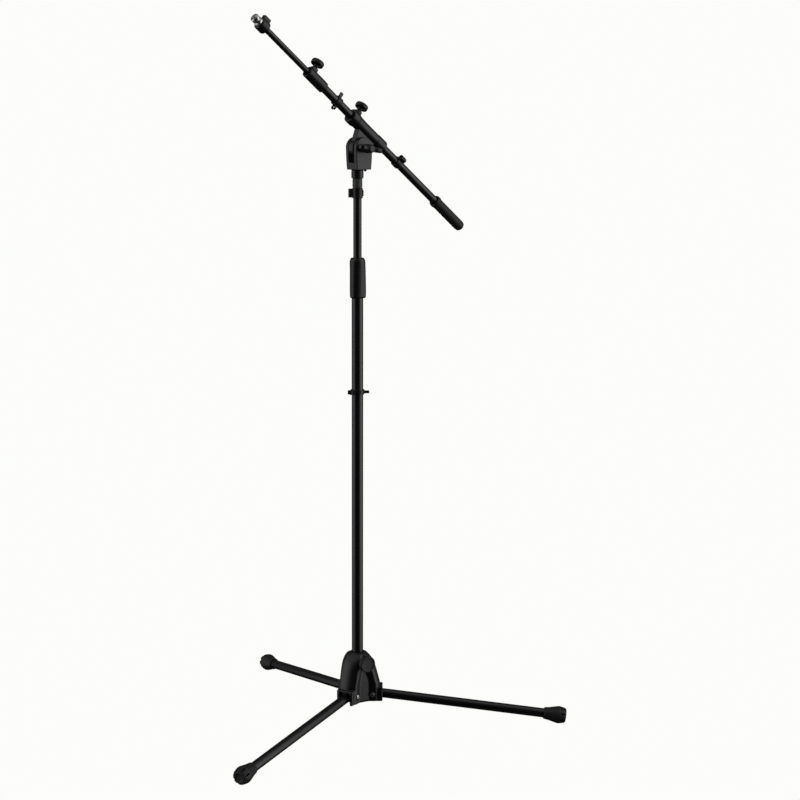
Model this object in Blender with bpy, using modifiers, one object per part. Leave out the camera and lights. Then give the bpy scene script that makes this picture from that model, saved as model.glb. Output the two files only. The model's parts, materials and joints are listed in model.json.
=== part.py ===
"""Boom microphone stand: a folding tripod base, a telescoping mast and a telescoping boom.

Metres, +Z up, standing on Z = 0. Each sub-assembly hangs from an empty on its joint's axis.
"""

import math

import bmesh
import bpy
from mathutils import Matrix, Vector

# ---------------------------------------------------------------- driving dimensions
GAP = 0.0003  # clearance that touching pieces keep

LEG_AZIMUTHS = {"right": 0.0, "back": 120.0, "front": 240.0}
PIVOT_RADIUS = 0.030  # leg pivot from the mast's axis
PIVOT_HEIGHT = 0.063
LEG_TUBE_RADIUS = 0.0092
LEG_TUBE_WALL = 0.0013
FOOT_START = 0.341  # from the pivot, along the leg
FOOT_FLARE_END = 0.3725
FOOT_END = 0.3855
FOOT_NECK_RADIUS = 0.0117
FOOT_FLARE_RADIUS = 0.0172
FOOT_TREAD_DEPTH = 0.0005  # how far the flare is flattened where it meets the floor

HUB_TOP = 0.146
HUB_BOTTOM = 0.048
HUB_COLLAR_RADIUS = 0.0155
LOBE_NOSE = 0.010  # how deep the rounded end of a leg housing is
SLOT_HALF_WIDTH = 0.012
SLOT_CEILING = 0.0745
HUB_KNOB_HEIGHT = 0.1295
HUB_KNOB_AZIMUTH = 300.0
HUB_KNOB_RADIUS = 0.0162
PANEL_REACH = 0.0285  # flat panels between the housings, from the mast's axis

LOWER_TUBE_RADIUS = 0.0111
UPPER_TUBE_RADIUS = 0.00795
MAST_WALL = 0.0014
LOWER_TUBE_BOTTOM = 0.088
CLUTCH_BOTTOM = 0.845
CLUTCH_TOP = 0.922
UPPER_TUBE_BOTTOM = 0.290
UPPER_TUBE_TOP = 1.066
NECK_TOP = 1.0724
COLLAR_TOP = 1.0885
YOKE_TOP_RADIUS = 0.0205
TILT_HEIGHT = 1.129  # boom pivot
YOKE_HALF_WIDTH = 0.0158
YOKE_WALL = 0.0078
YOKE_SHIFT = -0.004  # the yoke's middle from its pivot, along the boom's heading
DISC_RADIUS = 0.0175

BOOM_HEADING = 222.0  # compass direction of the boom's tip, from +X towards +Y
BOOM_RISE = 38.0
BOOM_OFFSET = 0.038  # boom axis from its pivot
BOOM_TUBE_RADIUS = 0.00795
BOOM_ROD_RADIUS = 0.0056
BOOM_WALL = 0.0012
MAIN_MOUTH = 0.0525  # stations along the boom, from the pivot towards the tip
MAIN_REAR = -0.0495
MAIN_KNOB = 0.0395
TELE_MOUTH = 0.1845
TELE_REAR = 0.134
TELE_KNOB = 0.1735
CLIP_FRONT = 0.0930
CLIP_REAR = -0.0975
NUT_REAR = 0.3055
NUT_FRONT = 0.3245
THREAD_FRONT = 0.340
GRIP_MOUTH = -0.2235
GRIP_END = -0.314
THREAD_RADIUS = 0.00794
PIN_RADIUS = 0.0030  # pivot bolts and the studs of the larger knobs
STUD_RADIUS = 0.0024
EYE_RADIUS = 0.0038  # cable eye of a clip

# The mast stands off the frame's origin, so that the origin is the middle of the footprint.
LEG_REACH = PIVOT_RADIUS + FOOT_END
FOOT_FAR = LEG_REACH * math.cos(math.radians(60)) + FOOT_FLARE_RADIUS * math.sin(math.radians(60))
MAST_X = (FOOT_FAR - LEG_REACH) / 2

STEPS = 20  # facets round a tube


# ---------------------------------------------------------------- scene and materials
def clear_scene():
    for obj in list(bpy.data.objects):
        bpy.data.objects.remove(obj)
    for name in ("boom_microphone_stand", "cutters"):
        bpy.context.scene.collection.children.link(bpy.data.collections.new(name))


def finish(name, colour, roughness, metallic):
    made = bpy.data.materials.new(name)
    made.use_nodes = True
    shader = made.node_tree.nodes["Principled BSDF"]
    shader.inputs["Base Color"].default_value = (*colour, 1)
    shader.inputs["Roughness"].default_value = roughness
    shader.inputs["Metallic"].default_value = metallic
    return made


clear_scene()
POWDER = finish("powder_coated_steel", (0.018, 0.020, 0.019), 0.42, 0.0)
CASTING = finish("painted_die_casting", (0.020, 0.022, 0.021), 0.46, 0.0)
NYLON = finish("black_nylon", (0.016, 0.017, 0.017), 0.52, 0.0)
RUBBER = finish("black_rubber", (0.014, 0.014, 0.014), 0.75, 0.0)
CHROME = finish("chrome_plate", (0.80, 0.80, 0.80), 0.12, 1.0)
ZINC = finish("zinc_plated_steel", (0.55, 0.53, 0.48), 0.32, 1.0)
BRASS = finish("brass", (0.55, 0.42, 0.20), 0.30, 1.0)


def add(name, mesh, material, parent, matrix=None, cutter=False):
    obj = bpy.data.objects.new(name, mesh)
    bpy.data.collections["cutters" if cutter else "boom_microphone_stand"].objects.link(obj)
    if material:
        mesh.materials.append(material)
    obj.parent = parent
    if matrix is not None:
        obj.matrix_local = matrix
    if cutter:
        obj.hide_render = True
        obj.display_type = "WIRE"
    return obj


def empty(name, parent=None, matrix=None):
    obj = bpy.data.objects.new(name, None)
    bpy.data.collections["boom_microphone_stand"].objects.link(obj)
    obj.parent = parent
    if matrix is not None:
        obj.matrix_local = matrix
    return obj


def place(x=0.0, y=0.0, z=0.0, turn=None):
    """A matrix that turns by (angle in degrees, axis) and then moves."""
    moved = Matrix.Translation((x, y, z))
    if turn is None:
        return moved
    return moved @ Matrix.Rotation(math.radians(turn[0]), 4, turn[1])


ALONG_X = place(turn=(90, "Y"))
ALONG_Y = place(turn=(-90, "X"))


# ---------------------------------------------------------------- shape makers
def turned(name, profile, material, parent, matrix=None, steps=STEPS, ring=False, cutter=False):
    """A profile of (radius, height) turned about local Z. It runs down the outer side."""
    mesh = bpy.data.meshes.new(name)
    count = len(profile)
    edges = [(i, i + 1) for i in range(count - 1)] + ([(count - 1, 0)] if ring else [])
    mesh.from_pydata([(radius, 0, height) for radius, height in profile], edges, [])
    obj = add(name, mesh, material, parent, matrix, cutter)
    screw = obj.modifiers.new("turn", "SCREW")
    screw.steps = steps
    screw.render_steps = steps
    screw.use_merge_vertices = True
    screw.merge_threshold = 0.00001
    screw.use_smooth_shade = False
    return obj


def rod(name, radius, low, high, material, parent, matrix=None, bevel=0.0, steps=STEPS, cutter=False):
    """A solid round bar along local Z, with chamfered ends where bevel is given."""
    if bevel:
        profile = [(0, high), (radius - bevel, high), (radius, high - bevel), (radius, low + bevel),
                   (radius - bevel, low), (0, low)]
    else:
        profile = [(0, high), (radius, high), (radius, low), (0, low)]
    return turned(name, profile, material, parent, matrix, steps, cutter=cutter)


def pipe(name, outer, inner, low, high, material, parent, matrix=None, steps=STEPS):
    profile = [(inner, high), (outer, high), (outer, low), (inner, low)]
    return turned(name, profile, material, parent, matrix, steps, ring=True)


def block(name, low, high, material, parent, matrix=None, cutter=False, bevel=0.0):
    """A box between two corners, made from the primitive cube with its scale in the mesh."""
    bpy.ops.mesh.primitive_cube_add(size=1)
    made = bpy.context.object
    mesh = made.data
    bpy.data.objects.remove(made)
    low, high = Vector(low), Vector(high)
    mesh.transform(Matrix.Translation((low + high) / 2) @ Matrix.Diagonal((*(high - low), 1)))
    mesh.name = name
    obj = add(name, mesh, material, parent, matrix, cutter)
    if bevel:
        rounded(obj, bevel)
    return obj


def rounded(obj, width, segments=1, angle=40.0):
    made = obj.modifiers.new("rounding", "BEVEL")
    made.width = width
    made.segments = segments
    made.limit_method = "ANGLE"
    made.angle_limit = math.radians(angle)


def plate(name, outline, half, material, parent, matrix=None, cutter=False):
    """A flat outline in local X and Z, extruded to both sides of the local Y = 0 plane."""
    curve = bpy.data.curves.new(name, "CURVE")
    curve.dimensions = "2D"
    curve.fill_mode = "BOTH"
    curve.extrude = half
    spline = curve.splines.new("POLY")
    spline.points.add(len(outline) - 1)
    for point, (x, z) in zip(spline.points, outline):
        point.co = (x, z, 0, 1)
    spline.use_cyclic_u = True
    drawn = bpy.data.objects.new(name + "_outline", curve)
    bpy.context.scene.collection.objects.link(drawn)
    bpy.context.view_layer.update()
    graph = bpy.context.evaluated_depsgraph_get()
    mesh = bpy.data.meshes.new_from_object(drawn.evaluated_get(graph))
    bpy.data.objects.remove(drawn)
    mesh.transform(Matrix.Rotation(math.radians(90), 4, "X"))
    weld(mesh)
    mesh.name = name
    return add(name, mesh, material, parent, matrix, cutter)


def weld(mesh):
    work = bmesh.new()
    work.from_mesh(mesh)
    bmesh.ops.remove_doubles(work, verts=work.verts, dist=0.00001)
    bmesh.ops.recalc_face_normals(work, faces=work.faces)
    work.to_mesh(mesh)
    work.free()


def combine(obj, others, operation, solver):
    for other in others:
        made = obj.modifiers.new(other.name, "BOOLEAN")
        made.operation = operation
        made.object = other
        made.solver = solver


def cut(obj, *cutters, solver="EXACT"):
    combine(obj, cutters, "DIFFERENCE", solver)


def join(obj, *added, solver="EXACT"):
    combine(obj, added, "UNION", solver)


def arc(centre_x, centre_z, radius, start, end, count):
    """Points (x, z) along an arc, angles in degrees from +X towards +Z."""
    return [
        (
            centre_x + radius * math.cos(math.radians(start + (end - start) * i / count)),
            centre_z + radius * math.sin(math.radians(start + (end - start) * i / count)),
        )
        for i in range(count + 1)
    ]


def smooth_round_pieces():
    for obj in bpy.data.collections["boom_microphone_stand"].objects:
        if obj.type == "MESH":
            shading = obj.modifiers.get("turn")
            if shading:
                shading.use_smooth_shade = True
            obj.data.shade_smooth()
            obj.data.set_sharp_from_angle(angle=math.radians(35))


# ---------------------------------------------------------------- tripod base
def leg_housing(name, mast, turn):
    """A leg's housing: level sections, each straight-sided with a rounded nose, stacked up the mast."""
    sections = [
        (HUB_BOTTOM + 0.001, 0.0446, 0.0193),
        (0.0800, 0.0446, 0.0198),
        (0.0880, 0.0432, 0.0200),
        (0.1003, 0.0400, 0.0203),
        (0.1107, 0.0372, 0.0203),
        (0.1211, 0.0338, 0.0200),
        (0.1309, 0.0290, 0.0192),
        (0.1380, 0.0235, 0.0178),
        (0.1425, 0.0190, 0.0160),
        (HUB_TOP - 0.0012, 0.0155, 0.0140),
    ]
    points = []
    for height, reach, half in sections:
        nose = min(LOBE_NOSE, reach / 3)
        ring = [(0, -half)] + [
            (reach - nose + nose * math.cos(math.radians(angle)), half * math.sin(math.radians(angle)))
            for angle in range(-90, 91, 22)
        ] + [(reach - nose, half), (0, half)]
        points.append([(x, y, height) for x, y in ring])
    count = len(points[0])
    faces = [list(range(count))[::-1], [(len(points) - 1) * count + i for i in range(count)]]
    for level in range(len(points) - 1):
        for i in range(count):
            low, after = level * count + i, level * count + (i + 1) % count
            faces.append((low, after, after + count, low + count))
    mesh = bpy.data.meshes.new(name)
    mesh.from_pydata([point for ring in points for point in ring], [], faces)
    weld(mesh)
    return add(name, mesh, CASTING, mast, turn, cutter=True)


def hub_casting(mast):
    """The die casting: a collar round the mast, three housings for the legs and flat panels between."""
    corner = 1 / math.cos(math.radians(30))
    core = [
        (0, 0.1400),
        (0.0160 * corner, 0.1400),
        (0.0195 * corner, 0.1300),
        (0.0245 * corner, 0.1150),
        (PANEL_REACH * corner, 0.0920),
        (PANEL_REACH * corner, HUB_BOTTOM),
        (0, HUB_BOTTOM),
    ]
    hub = turned("hub_casting", core, CASTING, mast, place(turn=(30, "Z")), steps=6)
    collar = rod("hub_collar", HUB_COLLAR_RADIUS, 0.120, HUB_TOP, CASTING, mast, None, 0.0006, 24, True)
    join(hub, collar, solver="MANIFOLD")
    bore = rod("hub_bore", LOWER_TUBE_RADIUS + GAP, 0.0, 0.2, None, mast, cutter=True)
    cutters = []
    for name, azimuth in LEG_AZIMUTHS.items():
        turn = place(turn=(azimuth, "Z"))
        housing = leg_housing(f"housing_{name}", mast, turn)
        rim = block(f"rim_{name}", (0.036, -0.0178, 0.0485), (0.0497, 0.0178, 0.0775), CASTING, mast,
                    turn, cutter=True, bevel=0.0012)
        join(hub, housing, rim, solver="MANIFOLD")
        slot = (0.0040, -SLOT_HALF_WIDTH, 0.030), (0.070, SLOT_HALF_WIDTH, SLOT_CEILING)
        cutters.append(block(f"slot_{name}", *slot, None, mast, turn, cutter=True))
        pin = turn @ place(PIVOT_RADIUS, 0, PIVOT_HEIGHT, (-90, "X")) @ place(turn=(11, "Z"))
        seat, shank, depth = 0.0062, PIN_RADIUS + GAP, 0.0168
        profile = [(0, 0.03), (seat, 0.03), (seat, depth), (shank, depth),
                   (shank, -depth), (seat, -depth), (seat, -0.03), (0, -0.03)]
        cutters.append(turned(f"pin_hole_{name}", profile, None, mast, pin, steps=12, cutter=True))
    knob_axis = place(turn=(HUB_KNOB_AZIMUTH, "Z")) @ place(0, 0, HUB_KNOB_HEIGHT, (90, "Y"))
    boss = rod("hub_knob_boss", 0.0085, 0.014, 0.0275, CASTING, mast, knob_axis, 0.0006, 16, True)
    join(hub, boss, solver="MANIFOLD")
    cutters.append(rod("hub_stud_hole", PIN_RADIUS + GAP, 0.001, 0.040, None, mast,
                       knob_axis @ place(turn=(11, "Z")), steps=12, cutter=True))
    cut(hub, bore, *cutters, solver="MANIFOLD")
    return knob_axis


def hub_knob(mast, knob_axis):
    """The clamping knob: a round nylon head moulded on a steel stud."""
    axis = empty("hub_knob_axis", mast, knob_axis)
    stud_end = LOWER_TUBE_RADIUS + GAP
    rod("hub_knob_stud", PIN_RADIUS, stud_end, 0.0370, ZINC, axis, bevel=0.0005, steps=12)
    head = [
        (0, 0.0440),
        (HUB_KNOB_RADIUS - 0.0014, 0.0440),
        (HUB_KNOB_RADIUS, 0.0426),
        (HUB_KNOB_RADIUS, 0.0355),
        (HUB_KNOB_RADIUS - 0.0008, 0.0342),
        (0.0085, 0.0335),
        (0.0075, 0.0281),
        (0, 0.0281),
    ]
    knob = turned("hub_knob_head", head, NYLON, axis)
    cut(knob, rod("hub_knob_socket", PIN_RADIUS + GAP, 0.02, 0.0373, None, axis, steps=12, cutter=True))


def leg_slope():
    """The angle below level at which the foot's flattened flare meets the floor."""
    flare = FOOT_FLARE_END - 0.001
    reach = math.hypot(flare, FOOT_FLARE_RADIUS)
    height = PIVOT_HEIGHT + FOOT_TREAD_DEPTH
    return math.asin(height / reach) - math.atan2(FOOT_FLARE_RADIUS, flare)


def leg(mast, name, azimuth):
    """One leg: a knuckle on its pivot bolt, a tube and a rubber foot. Local X runs outwards."""
    slope = leg_slope()
    pivot = place(turn=(azimuth, "Z")) @ place(PIVOT_RADIUS, 0, PIVOT_HEIGHT)
    bolt_axis = empty(f"leg_pivot_{name}", mast, pivot)
    axis = empty(f"leg_{name}", bolt_axis, place(turn=(math.degrees(slope), "Y")))

    shoulder = SLOT_CEILING - GAP - PIVOT_HEIGHT
    corners = [(x, (shoulder + x * math.sin(slope)) / math.cos(slope)) for x in (0.0125, 0.003)]
    outline = [(0.0125, -0.0085)] + corners + arc(0, 0, 0.0112, 100, 250, 6)
    knuckle = plate(f"leg_knuckle_{name}", outline, SLOT_HALF_WIDTH - 0.0006, CASTING, axis)
    rounded(knuckle, 0.0008)
    stub = rod(f"leg_stub_{name}", LEG_TUBE_RADIUS - LEG_TUBE_WALL - GAP, 0.006, 0.040, CASTING, axis,
               ALONG_X, 0.0008, 16, True)
    join(knuckle, stub)
    cut(knuckle, rod(f"leg_eye_{name}", PIN_RADIUS + GAP, -0.03, 0.03, None, axis,
                     place(turn=(-90, "X")), steps=12, cutter=True))

    pipe(f"leg_tube_{name}", LEG_TUBE_RADIUS, LEG_TUBE_RADIUS - LEG_TUBE_WALL, 0.0128,
         FOOT_START + 0.0235, POWDER, axis, ALONG_X, steps=20)

    socket = LEG_TUBE_RADIUS + GAP
    profile = [
        (0, FOOT_END),
        (0.0118, FOOT_END),
        (0.0145, FOOT_END - 0.0030),
        (0.0154, FOOT_FLARE_END + 0.0015),
        (FOOT_FLARE_RADIUS, FOOT_FLARE_END),
        (FOOT_FLARE_RADIUS, FOOT_FLARE_END - 0.0030),
        (0.0152, FOOT_FLARE_END - 0.0100),
        (0.0124, FOOT_START + 0.0110),
        (FOOT_NECK_RADIUS, FOOT_START + 0.0015),
        (FOOT_NECK_RADIUS - 0.001, FOOT_START),
        (socket, FOOT_START),
        (socket, FOOT_START + 0.0240),
        (0, FOOT_START + 0.0240),
    ]
    foot = turned(f"foot_{name}", profile, RUBBER, axis, ALONG_X, steps=24)
    floor = place(turn=(-math.degrees(slope), "Y")) @ place(z=-PIVOT_HEIGHT)
    cut(foot, block(f"floor_cut_{name}", (0.2, -0.05, -0.03), (0.5, 0.05, 0), None, axis, floor,
                    cutter=True))

    across = place(turn=(-90, "X"))
    bolt = turned(f"leg_bolt_{name}", [
        (0, 0.0215), (0.0046, 0.0215), (0.0053, 0.0206), (0.0053, 0.0171),
        (0.0030, 0.0171), (0.0030, -0.0235), (0, -0.0235),
    ], ZINC, bolt_axis, across, steps=12)
    cut(bolt, block(f"bolt_slot_{name}", (-0.0007, -0.01, 0.0205), (0.0007, 0.01, 0.03), None,
                    bolt_axis, across, cutter=True))
    nut = rod(f"leg_nut_{name}", 0.0056, -0.0225, -0.0171, ZINC, bolt_axis, across, steps=6)
    cut(nut, rod(f"nut_thread_{name}", PIN_RADIUS + GAP, -0.03, 0.0, None, bolt_axis, across, steps=12,
                 cutter=True))


# ---------------------------------------------------------------- mast
def cable_clip(name, bore, length, parent, matrix, eye_turn=0.0, tab=0.0, eye_half=0.0015):
    """A sprung nylon clip: a ring round a tube, with an open eye for a cable on its -X side."""
    wall = 0.0019
    mouth = 0.0058
    clip = rod(name, bore + wall, -length / 2, length / 2, NYLON, parent, matrix)
    spin = matrix @ place(turn=(eye_turn, "Z"))
    centre = -(bore + 0.0009 + EYE_RADIUS)
    middle = spin @ place(centre)
    outer = rod(f"{name}_eye", EYE_RADIUS + 0.0016, -eye_half, eye_half, NYLON, parent, middle,
                steps=16, cutter=True)
    join(clip, outer)
    if tab:
        lug = block(f"{name}_lug", (bore + 0.0006, -0.0016, -length * 0.3),
                    (bore + wall + tab, 0.0016, length * 0.3), NYLON, parent, matrix, True, 0.0005)
        join(clip, lug)
    tube_hole = rod(f"{name}_bore", bore, -0.05, 0.05, None, parent, matrix, cutter=True)
    hole = rod(f"{name}_eye_hole", EYE_RADIUS, -0.05, 0.05, None, parent, middle, steps=16, cutter=True)
    gate = block(f"{name}_gate", (centre - 0.010, -mouth / 2, -0.04), (centre - 0.0008, mouth / 2, 0.04),
                 None, parent, spin, cutter=True)
    cut(clip, tube_hole, gate, hole)
    return clip


def lower_mast(mast):
    """The lower tube, its end plug, its cable clip, and the clutch that grips the upper tube."""
    pipe("mast_lower_tube", LOWER_TUBE_RADIUS, LOWER_TUBE_RADIUS - MAST_WALL, LOWER_TUBE_BOTTOM,
         CLUTCH_TOP - 0.030, POWDER, mast)
    plug_radius = LOWER_TUBE_RADIUS - MAST_WALL - GAP
    turned("mast_end_plug", [
        (0, LOWER_TUBE_BOTTOM + 0.020), (plug_radius, LOWER_TUBE_BOTTOM + 0.020),
        (plug_radius, LOWER_TUBE_BOTTOM - GAP), (LOWER_TUBE_RADIUS - 0.0005, LOWER_TUBE_BOTTOM - GAP),
        (LOWER_TUBE_RADIUS - 0.0005, LOWER_TUBE_BOTTOM - 0.0020), (0, LOWER_TUBE_BOTTOM - 0.0020),
    ], NYLON, mast)
    cable_clip("mast_cable_clip", LOWER_TUBE_RADIUS + GAP, 0.0095, mast, place(z=0.663),
               eye_turn=35.0, tab=0.0095, eye_half=0.0040)

    body = [
        (0.0128, CLUTCH_TOP - 0.0005),
        (0.0138, CLUTCH_TOP - 0.0030),
        (0.0152, CLUTCH_TOP - 0.0060),
        (0.0152, CLUTCH_TOP - 0.030),
        (0.0148, CLUTCH_BOTTOM + 0.0120),
        (0.0144, CLUTCH_BOTTOM + 0.0015),
        (0.0136, CLUTCH_BOTTOM),
        (LOWER_TUBE_RADIUS + 0.0013, CLUTCH_BOTTOM),
        (LOWER_TUBE_RADIUS + 0.0013, CLUTCH_TOP - 0.026),
        (0.0100, CLUTCH_TOP - 0.0040),
        (UPPER_TUBE_RADIUS + 0.0008, CLUTCH_TOP - 0.0040),
        (UPPER_TUBE_RADIUS + 0.0008, CLUTCH_TOP - 0.0005),
    ]
    turned("clutch_sleeve", body, NYLON, mast, ring=True, steps=24)
    seat = LOWER_TUBE_RADIUS + GAP
    turned("clutch_base", [
        (seat, CLUTCH_TOP - 0.032), (seat + 0.0007, CLUTCH_TOP - 0.032),
        (seat + 0.0007, CLUTCH_BOTTOM + 0.002), (seat, CLUTCH_BOTTOM + 0.002),
    ], BRASS, mast, ring=True)
    collet = [
        (UPPER_TUBE_RADIUS + GAP, CLUTCH_TOP - 0.0065),
        (0.0092, CLUTCH_TOP - 0.0065),
        (0.0110, CLUTCH_TOP - 0.0285),
        (0.0110, CLUTCH_TOP - 0.0297),
        (LOWER_TUBE_RADIUS - MAST_WALL - GAP, CLUTCH_TOP - 0.0297),
        (LOWER_TUBE_RADIUS - MAST_WALL - GAP, CLUTCH_BOTTOM + 0.010),
        (UPPER_TUBE_RADIUS + GAP, CLUTCH_BOTTOM + 0.010),
    ]
    split = turned("clutch_collet", collet, NYLON, mast, ring=True)
    cut(split, block("collet_split", (0, -0.0006, 0.5), (0.03, 0.0006, 1.2), None, mast, cutter=True))


def upper_mast(mast):
    """The upper tube with its guide, its clip, and the threaded neck that carries the boom head."""
    inner = UPPER_TUBE_RADIUS - MAST_WALL
    pipe("mast_upper_tube", UPPER_TUBE_RADIUS, inner, UPPER_TUBE_BOTTOM, UPPER_TUBE_TOP, POWDER, mast)
    guide = LOWER_TUBE_RADIUS - MAST_WALL - GAP
    turned("mast_guide_bush", [
        (0, UPPER_TUBE_BOTTOM + 0.012), (inner - GAP, UPPER_TUBE_BOTTOM + 0.012),
        (inner - GAP, UPPER_TUBE_BOTTOM - GAP), (guide, UPPER_TUBE_BOTTOM - GAP),
        (guide, UPPER_TUBE_BOTTOM - 0.014), (0, UPPER_TUBE_BOTTOM - 0.014),
    ], NYLON, mast)
    cable_clip("upper_mast_clip", UPPER_TUBE_RADIUS + GAP, 0.0195, mast, place(z=1.0445),
               eye_turn=5.0, tab=0.0016, eye_half=0.0082)
    thread = THREAD_RADIUS - 0.0020
    turned("neck_fitting", [
        (0, COLLAR_TOP - 0.003), (thread, COLLAR_TOP - 0.003), (thread, NECK_TOP),
        (0.0091, NECK_TOP), (0.0094, NECK_TOP - 0.0006), (0.0094, 1.0556), (0.0091, 1.0550),
        (UPPER_TUBE_RADIUS + GAP, 1.0550), (UPPER_TUBE_RADIUS + GAP, UPPER_TUBE_TOP + GAP),
        (0, UPPER_TUBE_TOP + GAP),
    ], POWDER, mast)


# ---------------------------------------------------------------- boom head
def boom_head(mast):
    """The yoke that swivels on the neck, with its collar, set screw, pivot bolt and wing knob."""
    head = empty("boom_swivel", mast, place(z=TILT_HEIGHT) @ place(turn=(BOOM_HEADING, "Z")))
    thread_hole = THREAD_RADIUS - 0.0020 + GAP
    low = COLLAR_TOP - TILT_HEIGHT
    neck_top = NECK_TOP - TILT_HEIGHT
    turned("swivel_collar", [
        (thread_hole, low - GAP), (0.0112, low - GAP), (0.0116, low - 0.0010),
        (0.0116, neck_top + 0.0012), (0.0111, neck_top + GAP), (thread_hole, neck_top + GAP),
    ], CASTING, head, ring=True)

    front, back = YOKE_SHIFT + 0.0193, YOKE_SHIFT - 0.0193
    outline = (
        [(back + 0.0018, low), (front - 0.0018, low), (front, low + 0.020)]
        + arc(YOKE_SHIFT, 0, YOKE_TOP_RADIUS, 8, 172, 10)
        + [(back, low + 0.020)]
    )
    yoke = plate("boom_yoke", outline, YOKE_HALF_WIDTH, CASTING, head)
    rounded(yoke, 0.0012)
    gap_half = YOKE_HALF_WIDTH - YOKE_WALL
    gap = block("yoke_gap", (-0.05, -gap_half, low + 0.0135), (0.05, gap_half, 0.05), None, head,
                cutter=True)
    bolt_hole = rod("yoke_bolt_hole", PIN_RADIUS + GAP, -0.03, 0.03, None, head, ALONG_Y, steps=12,
                    cutter=True)
    nub = place(-0.0090, 0.0122, low)
    nub_hole = rod("yoke_screw_hole", 0.0020 + GAP, -0.01, 0.0085, None, head, nub, steps=10,
                   cutter=True)
    cut(yoke, gap, bolt_hole, nub_hole)
    turned("yoke_set_screw", [
        (0, 0.0070), (0.0020, 0.0070), (0.0020, -GAP), (0.0026, -GAP), (0.0026, -0.0026),
        (0.0021, -0.0032), (0, -0.0032),
    ], ZINC, head, nub, steps=10)

    knob_side = YOKE_HALF_WIDTH
    turned("pivot_bolt", [
        (0, knob_side + 0.020), (0.0030, knob_side + 0.020), (0.0030, -knob_side - GAP),
        (0.0056, -knob_side - GAP), (0.0056, -knob_side - 0.0032), (0.0050, -knob_side - 0.0040),
        (0, -knob_side - 0.0040),
    ], ZINC, head, ALONG_Y, steps=12)
    turned("pivot_washer", [
        (PIN_RADIUS + GAP, knob_side + 0.0020), (0.0085, knob_side + 0.0020), (0.0085, knob_side + GAP),
        (PIN_RADIUS + GAP, knob_side + GAP),
    ], BRASS, head, ALONG_Y, ring=True, steps=20)
    knob = turned("pivot_wing_knob", [
        (0, knob_side + 0.0250), (0.0048, knob_side + 0.0250), (0.0062, knob_side + 0.0232),
        (0.0072, knob_side + 0.0130), (0.0080, knob_side + 0.0100), (0.0080, knob_side + 0.0023),
        (0, knob_side + 0.0023),
    ], NYLON, head, ALONG_Y, steps=20)
    for sign in (-1, 1):
        wing = block(f"wing_{sign}", (0.0030, knob_side + 0.0105, -0.0034),
                     (0.0270, knob_side + 0.0300, 0.0034), NYLON, head,
                     place(turn=(-8 if sign > 0 else 172, "Y")), True, 0.0024)
        join(knob, wing)
    cut(knob, rod("wing_socket", PIN_RADIUS + GAP, 0.0, knob_side + 0.0203, None, head, ALONG_Y, steps=12,
                  cutter=True))
    return head


def clamp_knob(name, parent, station, reach, stud_end):
    """A screw knob across the boom: a cup-shaped nylon head on a stem, with a steel stud."""
    axis = empty(f"{name}_axis", parent, place(station, 0, BOOM_OFFSET))
    head_radius = 0.0125
    top = reach + 0.0035
    stem = reach - 0.0105
    head = [
        (0, top),
        (head_radius * 0.55, top - 0.0003),
        (head_radius * 0.90, top - 0.0016),
        (head_radius, top - 0.0035),
        (head_radius, top - 0.0075),
        (head_radius - 0.0010, top - 0.0090),
        (head_radius - 0.0030, top - 0.0088),
        (head_radius - 0.0036, top - 0.0045),
        (0.0052, top - 0.0040),
        (0.0048, stem),
        (0, stem),
    ]
    knob = turned(f"{name}_knob", head, NYLON, axis)
    cut(knob, rod(f"{name}_knob_socket", STUD_RADIUS + GAP, 0.0, top - 0.0037, None, axis, steps=12,
                  cutter=True))
    rod(f"{name}_stud", STUD_RADIUS, stud_end, top - 0.0040, ZINC, axis, bevel=0.0004, steps=12)


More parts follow.
